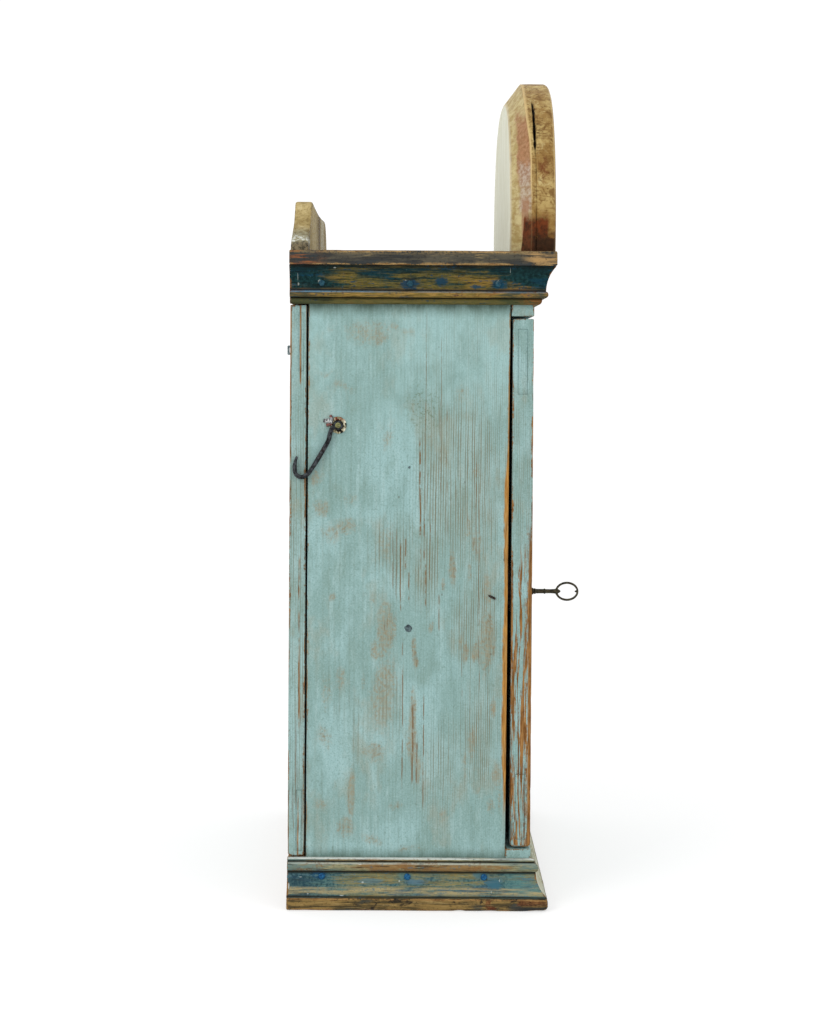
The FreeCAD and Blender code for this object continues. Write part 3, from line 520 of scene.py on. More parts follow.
    specks = s.mul(specks, s.step(g.cloud, 0.52, 0.6))
    col = s.mix(s.mul(specks, 0.6), col, srgb(92, 92, 80))
    # painted shade with dirt: the board is darker just under the cornice and just above the base
    if shade_and_dirt is not None:
        lo, hi = shade_and_dirt
        d = s.mx(s.step(s.xyz(2), (lo + 14) * MM, lo * MM, 0, 0.8), s.step(s.xyz(2), (hi - 17) * MM, hi * MM))
        col = s.mix(s.mul(d, s.step(g.smear2, 0.36, 0.6, 0.55, 0.95)), col, srgb(78, 98, 86))
    height = s.add(s.mul(g.fibre, 0.25), s.add(s.mul(late, -0.35), s.mul(m, -0.6)))
    height = s.add(height, s.add(s.mul(g.mott, 0.45), s.mul(g.brush, 0.3)))
    if line is not None:
        height = s.add(height, s.mul(line, -0.8))
    rough = s.step(s.add(s.mul(m, 0.6), s.mul(g.mott, 0.4)), 0.0, 1.0, 0.55, 0.85)
    return s.out(col, rough, s.bump(height, 0.5, 0.0006), spec=0.10)


def side_special(s, g, mask, fret):
    """The near side board: a bare band along its front arris. The painted shade and dirt at its head and foot are laid
    on in blue_paint.
    """
    y, z = s.xyz(1), s.xyz(2)
    width = s.add(s.mul(s.noise(s.map((1, 1, 0.35), (2, 2, 2)), 40, 5, 0.65), 0.012), -0.0015)
    width = s.mul(width, s.step(z, 0.53, 0.45, 0.22, 1.0))
    reach = s.math("SUBTRACT", s.math("SUBTRACT", y, s.step(z, 0.013, 0.7037, -0.0962, -0.0986)), width)
    b = s.step(reach, 0.0012, -0.0016)
    b = s.mul(b, s.mul(s.step(z, 0.075, 0.15), s.step(z, 0.66, 0.56, 0.25, 1.0)))
    s.gold = s.mul(b, s.step(s.add(s.xyz(0), s.mul(s.add(fret, -0.5), 0.02)), -0.209, -0.2165, 0.2, 1.0))
    return s.mx(mask, b)


def door_edge_special(s, g, mask, fret):
    """The door's lock edge: sound paint above, stripped to wavy grain below, both arrises rubbed bare."""
    y, z = s.xyz(1), s.xyz(2)
    low = s.step(s.add(z, s.mul(s.add(g.cloud, -0.5), 0.10)), 0.425, 0.345)
    wv = s.warp((0, 0.015, 0), 13, (1, 1, 0.6), (3, 3, 3), 3)
    waves = s.noise(s.map((1, 1, 0.028), (1, 1, 1), wv), 330, 3, 0.6)
    grainy = s.mul(low, s.step(s.add(waves, s.mul(s.add(fret, -0.5), 0.5)), 0.45, 0.57))
    side = s.step(s.add(s.xyz(0), s.mul(s.add(fret, -0.5), 0.030)), -0.2115, -0.2165)
    right = s.mul(s.mul(s.step(y, -0.1185, -0.1215), side), s.step(z, 0.44, 0.38, 0.1, 0.95))
    hand = s.mul(s.blob((-205, 0, 350), (16, None, 62), 0.0, 1.0), s.step(fret, 0.42, 0.56, 0.1, 1.1))
    left = s.mul(s.mul(s.step(y, -0.1045, -0.1022), side), s.mul(s.step(z, 0.40, 0.33), s.step(fret, 0.4, 0.55, 0.3, 1.0)))
    mid = s.mul(s.mul(s.step(z, 0.44, 0.40), side), s.mul(s.step(y, -0.112, -0.118), s.step(fret, 0.42, 0.55)))
    mask = s.mx(mask, s.mul(s.mul(grainy, side), 0.9))
    front = s.mul(hand, s.step(y, -0.1205, -0.1235, 0, 0.8))
    return s.mx(s.mx(mask, s.mul(mid, 0.7)), s.mx(front, s.mx(right, left)))


def strip_special(s, g, mask, fret):
    """The rear door's free edge: long brown lines along both arrises."""
    y, z = s.xyz(1), s.xyz(2)
    yy = s.add(y, s.mul(s.add(s.noise(s.map((1, 1, 0.3), (5, 5, 5)), 30, 4), -0.5), 0.004))
    fade = s.step(s.noise(s.map((1, 1, 0.5), (8, 8, 8)), 24, 4, 0.6), 0.40, 0.56, 0.05, 1.0)
    side = s.step(s.add(s.xyz(0), s.mul(s.add(fret, -0.5), 0.024)), -0.2125, -0.2170)
    outer = s.mul(s.mul(s.step(yy, 0.1408, 0.1424), side), s.mul(fade, 0.85))
    inner = s.mul(s.mul(s.band(yy, 0.1318, 0.0006, 0.0010), side), s.step(s.noise(s.map((1, 1, 0.5), (9, 9, 9)), 20, 4, 0.6), 0.43, 0.56, 0.05, 0.75))
    near = s.mul(s.mul(s.step(yy, 0.1262, 0.1254), side), s.mul(fade, 0.6))
    low = s.mul(s.mul(s.step(z, 0.34, 0.12), side), s.step(g.ring, 0.53, 0.62, 0, 0.6))
    return s.mx(s.mx(mask, low), s.mx(outer, s.mx(inner, near)))


def moulding_paint(name, run="Y", seed=0.0, kind="cornice"):
    """Dark blue-green paint over an ochre ground, worn in long streaks along the moulding."""
    s = Shader(name)
    off = (seed, seed * 0.37, seed * 0.71)
    st = {"X": (0.07, 1, 1), "Y": (1, 0.07, 1)}[run]
    md = {"X": (0.25, 1, 1), "Y": (1, 0.25, 1)}[run]
    streak = s.noise(s.map(st, off), 330, 5, 0.7, 0.2)
    streak2 = s.noise(s.map(st, (off[0] + 5, off[1], off[2] + 2)), 420, 5, 0.7, 0.2)
    fine = s.noise(s.map(st, (off[0] + 9, 0, 0)), 1300, 3, 0.65)
    patch = s.noise(s.map(md, (off[0] + 4, off[1], off[2])), 42, 5, 0.65, 0.4)
    mott = s.noise(s.map((1, 1, 1), off), 300, 5, 0.7)
    z = s.xyz(2)
    y = s.xyz(1)
    tag = s.attr("tag")          # 1 on the beads, 0 in the cove
    groove = s.attr("groove")
    e = s.attr("edge")
    level = s.add(s.mul(streak, 0.5), s.mul(patch, 0.5))
    if kind == "cornice":
        lean = s.add(s.step(y, 0.075, 0.125, 0.016, -0.11), s.step(y, -0.068, -0.108, 0, -0.12)) if run == "Y" else -0.01
        level = s.add(level, lean)
        blue = s.mix(s.step(mott, 0.38, 0.62), srgb(12, 36, 38), srgb(28, 62, 62))
        blue = s.mix(s.step(patch, 0.46, 0.34, 0, 0.7), blue, srgb(16, 56, 72))
        ochre = s.mix(s.step(fine, 0.4, 0.62), srgb(86, 78, 34), srgb(126, 108, 52))
        ochre = s.mix(s.step(mott, 0.52, 0.38, 0, 0.6), ochre, srgb(76, 78, 44))
        ochre = s.mix(s.step(patch, 0.54, 0.64, 0, 0.6), ochre, srgb(150, 116, 56))
        col = s.mix(s.step(level, 0.445, 0.560), blue, ochre)
        col = s.mix(s.mul(s.step(z, 0.690, 0.699), s.step(streak2, 0.40, 0.56, 0.9, 0.1)), col, srgb(20, 40, 42))
        bead = s.mix(s.step(fine, 0.4, 0.6), srgb(112, 96, 46), srgb(158, 126, 66))
        bead = s.mix(s.step(patch, 0.52, 0.62, 0, 0.8), bead, srgb(146, 100, 48))
        bead = s.mix(s.step(level, 0.47, 0.38, 0, 0.85), bead, srgb(50, 62, 54))
        bead = s.mix(s.mul(s.step(z, 0.6705, 0.6665), 0.7), bead, srgb(74, 80, 48))
        col = s.mix(tag, col, bead)
        # blue paint along the top of the bead, lightened into a painted highlight
        top = s.mul(s.band(z, 0.6757, 0.0011, 0.0011), s.step(patch, 0.40, 0.54, 0.3, 0.95))
        if run == "Y":
            top = s.mul(top, s.step(y, 0.02, 0.07, 0.45, 1.0))
        col = s.mix(top, col, srgb(98, 134, 158))
        shade = s.mul(s.step(z, 0.6985, 0.7025), s.step(streak2, 0.42, 0.6, 0.95, 0.5))
        col = s.mix(shade, col, srgb(20, 20, 16))
        light = srgb(186, 192, 184)
        wood = s.mix(s.step(fine, 0.42, 0.6), srgb(144, 96, 50), srgb(86, 54, 28))
        dark = srgb(16, 17, 13)
        spots = [((12, 684), (11, 7), (14, 58, 84)), ((-22, 686), (8, 6), (16, 58, 80)), ((-84, 684), (9, 6), (18, 66, 88)), ((-60, 680.5), (7, 2.5), (16, 60, 82))]
        nicks = [((134, 691), (0.45, 7)), ((133.6, 682.5), (2.0, 2.6)), ((110, 686), (3.2, 2.6)), ((93.5, 700.5), (3.2, 1.1)), ((16.5, 687.5), (1.2, 1.2)), ((-84, 688), (1.1, 1.1)), ((-97, 698), (0.4, 5))]
    elif kind == "base":
        lean = s.add(s.step(y, 0.07, 0.125, 0.02, -0.13), s.step(y, -0.06, -0.105, 0, -0.06)) if run == "Y" else -0.02
        level = s.add(level, lean)
        blue = s.mix(s.step(mott, 0.38, 0.62), srgb(44, 76, 84), srgb(90, 124, 120))
        blue = s.mix(s.step(patch, 0.46, 0.34, 0, 0.7), blue, srgb(70, 100, 122))
        if run == "Y":
            blue = s.mix(s.step(y, 0.095, 0.13, 0, 0.6), blue, srgb(34, 58, 70))
            blue = s.mix(s.step(y, -0.085, -0.115, 0, 0.6), blue, srgb(92, 138, 136))
        ochre = s.mix(s.step(fine, 0.4, 0.62), srgb(116, 106, 66), srgb(154, 138, 90))
        ochre = s.mix(s.step(mott, 0.54, 0.40, 0, 0.8), ochre, srgb(112, 122, 94))
        ochre = s.mix(s.step(streak2, 0.50, 0.40, 0, 0.5), ochre, srgb(126, 134, 106))
        col = s.mix(s.step(level, 0.43, 0.56), blue, ochre)
        col = s.mix(s.step(s.add(s.mul(patch, 0.6), s.mul(streak2, 0.4)), 0.47, 0.38, 0, 0.6), col, srgb(32, 60, 70))
        col = s.mix(s.mul(s.band(z, 0.0195, 0.0018, 0.003), s.step(streak, 0.40, 0.56, 0.1, 0.8)), col, srgb(176, 160, 116))
        # painted shade: the top of the cove, under the bead, darkened
        col = s.mix(s.mul(s.step(z, 0.0355, 0.0395), s.mul(s.math("SUBTRACT", 1.0, tag), s.step(streak2, 0.40, 0.6, 0.95, 0.55))), col, srgb(30, 42, 40))
        bead = s.mix(s.step(fine, 0.4, 0.6), srgb(112, 116, 90), srgb(160, 154, 118))
        bead = s.mix(s.step(patch, 0.53, 0.62, 0, 0.8), bead, srgb(140, 106, 62))
        bead = s.mix(s.step(level, 0.47, 0.39, 0, 0.85), bead, srgb(96, 124, 122))
        bead = s.mix(s.step(streak2, 0.54, 0.62, 0, 0.8), bead, srgb(64, 52, 40))
        col = s.mix(tag, col, bead)
        # painted highlights: light lines along the top fillet and along the top of the bead
        top = s.mul(s.band(z, 0.0532, 0.0005, 0.0008), s.step(patch, 0.40, 0.54, 0.4, 0.95))
        col = s.mix(top, col, srgb(204, 212, 206))
        top = s.mul(s.band(z, 0.0486, 0.0006, 0.0010), s.step(patch, 0.44, 0.58, 0.2, 0.8))
        col = s.mix(top, col, srgb(182, 188, 176))
        shade = s.mul(s.step(z, 0.0165, 0.0142), s.step(streak2, 0.42, 0.6, 0.75, 0.25))
        col = s.mix(shade, col, srgb(46, 38, 26))
        light = srgb(214, 220, 214)
        wood = s.mix(s.step(fine, 0.42, 0.6), srgb(150, 108, 62), srgb(98, 66, 38))
        dark = srgb(34, 32, 24)
        spots = [((108, 36), (9, 6), (28, 72, 100)), ((14, 35), (11, 6), (92, 124, 118)), ((3, 28), (14, 3.5), (84, 116, 130)), ((-70, 36), (10, 5), (80, 116, 122)), ((-84, 27), (12, 6), (60, 104, 120)), ((52, 29), (16, 3), (96, 122, 124))]
        nicks = [((20, 29.5), (1.5, 1.8)), ((60, 28), (2.0, 1.4)), ((-81, 19), (1.0, 2.4)), ((120, 17), (2.4, 1.6)), ((141, 24), (1.4, 4)), ((-90, 30), (0.8, 2.2)), ((128, 33), (3.0, 0.8))]
    else:                       # the run across the front of the base: a pale coat
        col = s.mix(s.step(level, 0.42, 0.58), srgb(196, 200, 182), srgb(176, 172, 142))
        col = s.mix(s.step(patch, 0.56, 0.68, 0, 0.8), col, srgb(128, 146, 140))
        light = srgb(224, 224, 212)
        wood = s.mix(s.step(fine, 0.42, 0.6), srgb(150, 108, 62), srgb(98, 66, 38))
        dark = srgb(96, 88, 66)
        spots = nicks = ()
    if run == "Y":
        near = s.step(s.xyz(0), -0.15, -0.2)
        rag = s.add(s.mul(s.add(streak, -0.5), 2.4), s.mul(s.add(mott, -0.5), 1.4))
        for (cy, cz), (ry, rz), c in spots:
            col = s.mix(s.mul(near, s.step(s.add(s.blob((0, cy, cz), (None, ry * 1.5, rz * 1.5), 0.0, 1.0), rag), 0.18, 0.72, 0, 0.9)), col, srgb(*c))
    col = s.mix(s.mul(s.step(streak2, 0.53, 0.66), 0.75 if kind == "cornice" else 0.40), col, dark)
    worn = s.step(s.mul(e, s.step(s.add(s.mul(patch, 0.6), s.mul(mott, 0.4)), 0.40, 0.60, 0.2, 1.35)), 0.45, 0.9)
    col = s.mix(worn, col, wood)
    nick = s.step(s.vor(s.map(md, off), 70), 0.05, 0.03)
    nick = s.mul(nick, s.step(s.noise(s.map((1, 1, 1), (off[0] + 12, 0, 0)), 22, 2), 0.53, 0.58))
    if run == "Y":
        for (cy, cz), (ry, rz) in nicks:
            nick = s.mx(nick, s.mul(near, s.step(s.add(s.blob((0, cy, cz), (None, ry * 1.15, rz * 1.15), 0.0, 1.0), s.mul(s.add(mott, -0.5), 2.6)), 0.34, 0.80, 0, 0.8)))
    col = s.mix(s.mul(nick, 0.65), col, light)
    # painted shade: near black in the creases between the profile's members
    col = s.mix(s.mul(groove, 0.95), col, dark)
    col = s.mix(s.step(mott, 0.56, 0.74, 0, 0.35), col, dark)
    height = s.add(s.mul(streak, 0.5), s.add(s.mul(worn, -0.5), s.add(s.mul(mott, 0.35), s.mul(nick, 0.4))))
    rough = s.step(mott, 0.3, 0.7, 0.45, 0.7)
    return s.out(col, rough, s.bump(height, 0.55, 0.0007), spec=0.05)


def edge_board_paint(name, seed=0.0, kind="top"):
    """Top and bottom boards: dark rubbed paint, bare wood along the arrises."""
    s = Shader(name)
    off = (seed, seed * 0.4, seed * 0.7)
    streak = s.noise(s.map((0.2, 0.06, 1), off), 330, 5, 0.7, 0.2)
    streak2 = s.noise(s.map((0.2, 0.06, 1), (off[0] + 4, 1, 2)), 430, 5, 0.7)
    patch = s.noise(s.map((0.5, 0.3, 1), (off[0] + 2, 2, 1)), 46, 5, 0.65, 0.4)
    mott = s.noise(s.map((1, 1, 1), off), 320, 5, 0.7)
    fine = s.noise(s.map((0.2, 0.05, 1), (off[0] + 7, 0, 0)), 1200, 3, 0.65)
    y, z = s.xyz(1), s.xyz(2)
    e = s.attr("edge")
    if kind == "top":
        col = s.mix(s.step(s.add(s.mul(streak, 0.4), s.mul(patch, 0.6)), 0.42, 0.58), srgb(54, 54, 52), srgb(86, 82, 70))
        col = s.mix(s.step(patch, 0.45, 0.34, 0, 0.7), col, srgb(58, 64, 66))
        col = s.mix(s.mul(s.step(streak2, 0.53, 0.63, 0, 0.85), s.step(patch, 0.48, 0.58)), col, srgb(150, 130, 90))
        upper = s.mul(s.step(z, 0.7135, 0.7185), s.step(s.add(s.mul(streak, 0.5), s.mul(mott, 0.5)), 0.44, 0.56))
        col = s.mix(s.mul(upper, 0.8), col, srgb(146, 126, 88))
        tail = s.mul(s.step(y, -0.105, -0.125), s.step(s.add(s.mul(streak, 0.5), s.mul(patch, 0.5)), 0.45, 0.55))
        col = s.mix(s.mul(tail, 0.85), col, srgb(178, 142, 92))
        wood = s.mix(s.step(fine, 0.42, 0.6), srgb(180, 148, 98), srgb(122, 88, 50))
        hot = s.mul(s.mul(s.step(y, 0.095, 0.132), s.step(s.xyz(0), -0.205, -0.235, 0.12, 1.0)), s.step(s.add(s.mul(patch, 0.5), s.mul(streak, 0.5)), 0.44, 0.54))
        hotcol = srgb(156, 92, 48)
        dark = srgb(26, 24, 22)
        flat = s.step(z, 0.7184, 0.7192)
        plain = s.noise(s.map((0.05, 1, 1), (off[0] + 3, 4, 2)), 240, 5, 0.68, 0.3)
        upperface = s.mix(s.step(plain, 0.40, 0.60), srgb(122, 104, 76), srgb(86, 70, 48))
        upperface = s.mix(s.step(patch, 0.46, 0.60, 0, 0.5), upperface, srgb(74, 66, 56))
    else:
        flat = None
        col = s.mix(s.step(s.add(s.mul(streak, 0.6), s.mul(patch, 0.4)), 0.44, 0.56), srgb(74, 64, 42), srgb(142, 116, 68))
        col = s.mix(s.step(streak2, 0.55, 0.66, 0, 0.7), col, srgb(168, 144, 96))
        blots = s.noise(s.map((0.6, 0.5, 1), (off[0] + 5, 3, 1)), 95, 4, 0.6, 0.4)
        col = s.mix(s.step(blots, 0.55, 0.63, 0, 0.9), col, srgb(38, 34, 30))
        col = s.mix(s.step(patch, 0.44, 0.34, 0, 0.7), col, srgb(58, 68, 68))
        wood = s.mix(s.step(fine, 0.42, 0.6), srgb(164, 128, 78), srgb(110, 76, 44))
        ragged_y = s.add(y, s.mul(s.add(blots, -0.5), 0.03))
        hot = s.mx(s.mul(s.step(ragged_y, -0.105, -0.114), s.step(z, 0.0045, 0.0075)), s.mul(s.band(ragged_y, -0.0785, 0.003, 0.003), 0.9))
        hotcol = s.mix(s.step(mott, 0.4, 0.6), srgb(118, 60, 38), srgb(78, 40, 25))
        hot = s.mul(hot, s.step(s.add(s.mul(streak, 0.5), s.mul(mott, 0.5)), 0.42, 0.56, 0.3, 1.0))
        foot = s.mul(s.step(ragged_y, -0.095, -0.112), s.step(z, 0.006, 0.003))
        col = s.mix(s.mul(foot, 0.85), col, srgb(44, 48, 50))
        dark = srgb(38, 34, 26)
    col = s.mix(s.mul(hot, 0.85), col, hotcol)
    worn = s.step(s.mul(e, s.step(s.add(s.mul(patch, 0.6), s.mul(mott, 0.4)), 0.38, 0.58, 0.3, 1.4)), 0.5, 0.9)
    col = s.mix(worn, col, wood)
    col = s.mix(s.step(mott, 0.52, 0.7, 0, 0.6), col, dark)
    if flat is not None:
        col = s.mix(s.mul(flat, 0.9), col, upperface)
    height = s.add(s.mul(streak, 0.5), s.add(s.mul(worn, -0.4), s.mul(mott, 0.4)))
    return s.out(col, s.step(mott, 0.3, 0.7, 0.5, 0.78), s.bump(height, 0.55, 0.0007), spec=0.06)


def bare_pine(name, grain="X", seed=0.0, a=(196, 164, 118), b=(158, 118, 74)):
    s = Shader(name)
    g = Grain(s, grain, seed, 0.008, 160)
    col = s.mix(s.step(g.smear2, 0.36, 0.64), srgb(*a), srgb(*b))
    col = s.mix(s.step(g.ring, 0.52, 0.66, 0, 0.65), col, srgb(*[c * 0.72 for c in b]))
    col = s.mix(s.step(g.fibre, 0.5, 0.7, 0, 0.45), col, srgb(*[c * 0.8 for c in b]))
    col = s.mix(s.step(g.cloud, 0.54, 0.72, 0, 0.5), col, srgb(112, 88, 60))
    e = s.attr("edge")
    col = s.mix(s.mul(s.step(e, 0.5, 1.0), 0.4), col, srgb(112, 80, 48))
    height = s.add(s.mul(g.fibre, 0.5), s.mul(s.step(g.ring, 0.52, 0.66), -0.4))
    return s.out(col, s.step(g.fibre, 0.3, 0.7, 0.6, 0.82), s.bump(height, 0.45, 0.0005), spec=0.2)


def crest_wood(name, seed=0.0):
    """Old stained pine of the arched crest: end-grain lines on the arch, dark stain low down."""
    s = Shader(name)
    off = (seed, seed * 0.4, seed * 0.7)
    line = s.noise(s.map((0.4, 0.07, 1.0), off, s.warp((0, 0, 0.004), 24, (1, 1, 1), off)), 480, 4, 0.65)
    line2 = s.noise(s.map((0.4, 0.10, 1.0), (off[0] + 3, 1, 1)), 210, 4, 0.65, 0.3)
    blot = s.noise(s.map((1, 1, 0.6), off), 32, 6, 0.68, 0.4)
    mott = s.noise(s.map((1, 1, 1), off), 240, 6, 0.72)
    x, y, z = s.xyz(0), s.xyz(1), s.xyz(2)
    tag = s.attr("tag")          # 1 on the chamfer
    face = s.attr("face")        # 1 on the rear face of the arch
    e = s.attr("edge")
    crack = s.attr("groove")
    small = s.noise(s.map((1, 1, 1), (off[0] + 7, 2, 1)), 80, 6, 0.70, 0.4)
    col = s.mix(s.step(blot, 0.36, 0.62), srgb(198, 174, 114), srgb(150, 118, 66))
    col = s.mix(s.step(small, 0.51, 0.62, 0, 0.90), col, srgb(122, 90, 46))
    col = s.mix(s.step(small, 0.46, 0.33, 0, 0.7), col, srgb(212, 194, 138))
    col = s.mix(s.step(line, 0.5, 0.66, 0, 0.50), col, srgb(112, 78, 38))
    col = s.mix(s.step(line2, 0.53, 0.68, 0, 0.35), col, srgb(124, 86, 42))
    col = s.mix(s.step(mott, 0.53, 0.67, 0, 0.80), col, srgb(94, 62, 30))
    rough_mark = s.mul(s.blob((0, -133, 808), (None, 9, 26), 0.1, 1.0), s.step(s.add(s.mul(mott, 0.5), s.mul(small, 0.5)), 0.44, 0.56))
    col = s.mix(s.mul(rough_mark, 0.8), col, srgb(112, 62, 34))
    warm = s.step(s.add(z, s.mul(s.add(small, -0.5), 0.05)), 0.80, 0.755)
    col = s.mix(s.mul(warm, 0.45), col, srgb(132, 94, 36))
    # the chamfer: golden at the head and foot, red-brown and grey-lilac between
    cham = s.mix(s.step(small, 0.4, 0.62), srgb(202, 186, 136), srgb(170, 148, 96))
    cham = s.mix(s.step(mott, 0.54, 0.70, 0, 0.6), cham, srgb(132, 98, 54))
    cham = s.mix(s.step(line2, 0.5, 0.66, 0, 0.4), cham, srgb(140, 104, 60))
    mid = s.band(s.add(z, s.mul(s.add(blot, -0.5), 0.06)), 0.838, 0.026, 0.022)
    red = s.mul(mid, s.step(s.add(y, s.mul(s.add(small, -0.5), 0.014)), -0.1035, -0.1075))
    cham = s.mix(s.mul(red, 0.85), cham, s.mix(s.step(mott, 0.4, 0.6), srgb(172, 122, 90), srgb(146, 98, 66)))
    lil = s.mul(s.band(s.add(z, s.mul(s.add(small, -0.5), 0.03)), 0.789, 0.022, 0.012), s.step(s.add(y, s.mul(s.add(small, -0.5), 0.012)), -0.1055, -0.1095))
    cham = s.mix(s.mul(lil, 0.8), cham, s.mix(s.step(mott, 0.4, 0.6), srgb(190, 174, 158), srgb(158, 128, 104)))
    tongue = s.mul(s.band(z, 0.757, 0.016, 0.010), s.band(s.add(y, s.mul(s.add(small, -0.5), 0.006)), -0.1135, 0.0025, 0.0020))
    cham = s.mix(s.mul(tongue, 0.8), cham, srgb(160, 118, 88))
    col = s.mix(tag, col, cham)
    edge_z = s.step(y, -0.1085, -0.1130, 0.718, 0.759)
    lowz = s.add(z, s.add(s.mul(s.add(blot, -0.5), 0.020), s.mul(s.add(small, -0.5), 0.030)))
    low = s.step(s.math("SUBTRACT", lowz, edge_z), 0.005, -0.008)
    low = s.mul(low, s.mx(s.step(y, -0.1405, -0.1365), s.step(lowz, 0.746, 0.736)))
    stain = s.mix(s.step(s.add(s.mul(mott, 0.4), s.mul(small, 0.6)), 0.42, 0.60), srgb(104, 44, 14), srgb(52, 24, 11))
    black = s.mul(s.step(lowz, 0.744, 0.732), s.step(y, -0.116, -0.125, 0.30, 1.0))
    stain = s.mix(s.mul(black, 0.85), stain, srgb(34, 19, 11))
    stain = s.mix(s.step(small, 0.60, 0.68, 0, 0.6), stain, srgb(128, 88, 38))
    col = s.mix(s.mul(low, s.step(x, -0.17, -0.215, 0.25, 0.95)), col, stain)
    pale = s.mix(s.step(blot, 0.35, 0.7), srgb(238, 239, 218), srgb(228, 228, 204))
    brushed = s.noise(s.map((1, 1, 0.12), (2, 1, 1), s.warp((0.02, 0, 0), 9, (1, 1, 1), off)), 110, 4, 0.6)
    pale = s.mix(s.step(brushed, 0.54, 0.68, 0, 0.6), pale, srgb(250, 252, 244))
    pale = s.mix(s.step(brushed, 0.46, 0.34, 0, 0.35), pale, srgb(216, 214, 188))
    col = s.mix(face, col, pale)
    # painted highlight along the arris between the chamfer and the edge, on the upper part of the arch
    hi = s.mul(s.step(e, 0.5, 0.95), s.step(s.add(s.mul(small, 0.5), s.mul(mott, 0.5)), 0.38, 0.52, 0.35, 0.95))
    hi = s.mul(hi, s.step(z, 0.765, 0.80, 0.1, 1.0))
    col = s.mix(s.mul(hi, 0.75), col, srgb(222, 194, 138))
    col = s.mix(s.step(crack, 0.10, 0.42, 0, 0.97), col, srgb(14, 10, 7))
    torn_y = s.add(y, s.mul(s.add(s.noise(s.map((1, 1, 0.30), (off[0] + 2, 5, 1)), 300, 5, 0.72), -0.5), 0.0075))
    tall = s.add(z, s.mul(s.add(small, -0.5), 0.02))
    rift = s.mul(s.band(torn_y, -0.1242, 0.0007, 0.0010), s.mul(s.step(tall, 0.835, 0.846), s.step(tall, 0.893, 0.878)))
    col = s.mix(s.mul(rift, 0.96), col, srgb(16, 11, 8))
    splinter = s.mul(s.blob((0, -126.5, 853), (None, 6.0, 30), 0.1, 1.0), s.step(line, 0.54, 0.62))
    col = s.mix(s.mul(splinter, 0.75), col, srgb(44, 29, 17))
    height = s.add(s.mul(line, 0.5), s.add(s.mul(mott, 0.4), s.mul(crack, -0.6)))
    return s.out(col, s.step(mott, 0.3, 0.7, 0.42, 0.65), s.bump(height, 0.55, 0.0007), spec=0.08)


def rear_crest_wood(name, seed=0.0):
    s = Shader(name)
    off = (seed, seed * 0.4, seed * 0.7)
    line = s.noise(s.map((0.04, 0.6, 1.0), off), 260, 5, 0.68, 0.2)
    blot = s.noise(s.map((1, 1, 0.6), off), 34, 6, 0.68, 0.4)
    mott = s.noise(s.map((1, 1, 1), off), 260, 6, 0.72)
    up = s.noise(s.map((1, 1, 0.06), (off[0] + 3, 1, 2)), 150, 4, 0.65)
    col = s.mix(s.step(blot, 0.36, 0.62), srgb(192, 172, 120), srgb(152, 132, 84))
    col = s.mix(s.step(line, 0.5, 0.66, 0, 0.55), col, srgb(136, 112, 66))
    col = s.mix(s.step(up, 0.53, 0.64, 0, 0.7), col, srgb(128, 108, 66))
    col = s.mix(s.step(up, 0.46, 0.36, 0, 0.5), col, srgb(214, 198, 152))
    col = s.mix(s.step(mott, 0.54, 0.70, 0, 0.75), col, srgb(104, 86, 52))
    x, z = s.xyz(0), s.xyz(2)
    lowz = s.add(z, s.add(s.mul(s.add(mott, -0.5), 0.02), s.mul(s.add(blot, -0.5), 0.02)))
    low = s.mul(s.step(lowz, 0.757, 0.740), s.step(x, -0.165, -0.195))
    col = s.mix(s.mul(low, 0.70), col, s.mix(s.step(mott, 0.4, 0.6), srgb(132, 134, 116), srgb(84, 80, 62)))
    white = s.mul(s.band(lowz, 0.7335, 0.002, 0.004), s.mul(s.step(x, -0.165, -0.195), s.step(mott, 0.46, 0.58)))
    col = s.mix(s.mul(white, 0.85), col, srgb(222, 226, 216))
    fore = s.step(s.xyz(1), 0.134, 0.131)
    seam = s.mul(s.mul(s.band(x, 0.026, 0.007, 0.016), fore), s.step(up, 0.40, 0.56, 0.55, 0.9))
    col = s.mix(seam, col, srgb(92, 74, 46))
    strip = s.mul(s.mul(s.band(x, 0.098, 0.018, 0.030), fore), s.step(up, 0.42, 0.56, 0.3, 0.8))
    col = s.mix(strip, col, srgb(214, 212, 190))
    strip = s.mul(s.mul(s.band(x, -0.085, 0.030, 0.045), fore), s.step(up, 0.42, 0.58, 0.2, 0.7))
    col = s.mix(strip, col, srgb(216, 200, 154))
    foot = s.mul(s.step(lowz, 0.7285, 0.7245), s.step(x, -0.165, -0.195))
    col = s.mix(s.mul(foot, 0.8), col, s.mix(s.step(mott, 0.42, 0.58), srgb(40, 34, 26), srgb(150, 136, 108)))
    e = s.attr("edge")
    col = s.mix(s.mul(s.step(e, 0.5, 1.0), s.step(mott, 0.42, 0.6, 0.1, 0.75)), col, srgb(122, 98, 58))
    height = s.add(s.mul(line, 0.6), s.mul(mott, 0.4))
    return s.out(col, s.step(mott, 0.3, 0.7, 0.5, 0.74), s.bump(height, 0.55, 0.0006), spec=0.08)


def iron(name, dark, light, rust, rusty=0.5, rough=(0.42, 0.7), metallic=0.5, scale=420):
    s = Shader(name)
    a = s.noise(s.map(), scale, 5, 0.68)
    b = s.noise(s.map((1, 1, 1), (3, 1, 2)), scale * 0.4, 4, 0.62)
    col = s.mix(s.step(a, 0.38, 0.66), srgb(*dark), srgb(*light))
    r = s.step(b, 0.5, 0.64, 0, rusty)
    col = s.mix(r, col, srgb(*rust))
    return s.out(col, s.step(a, 0.3, 0.7, rough[0], rough[1]), s.bump(a, 0.6, 0.0005), s.step(r, 0.0, 1.0, metallic, 0.0), spec=0.12)


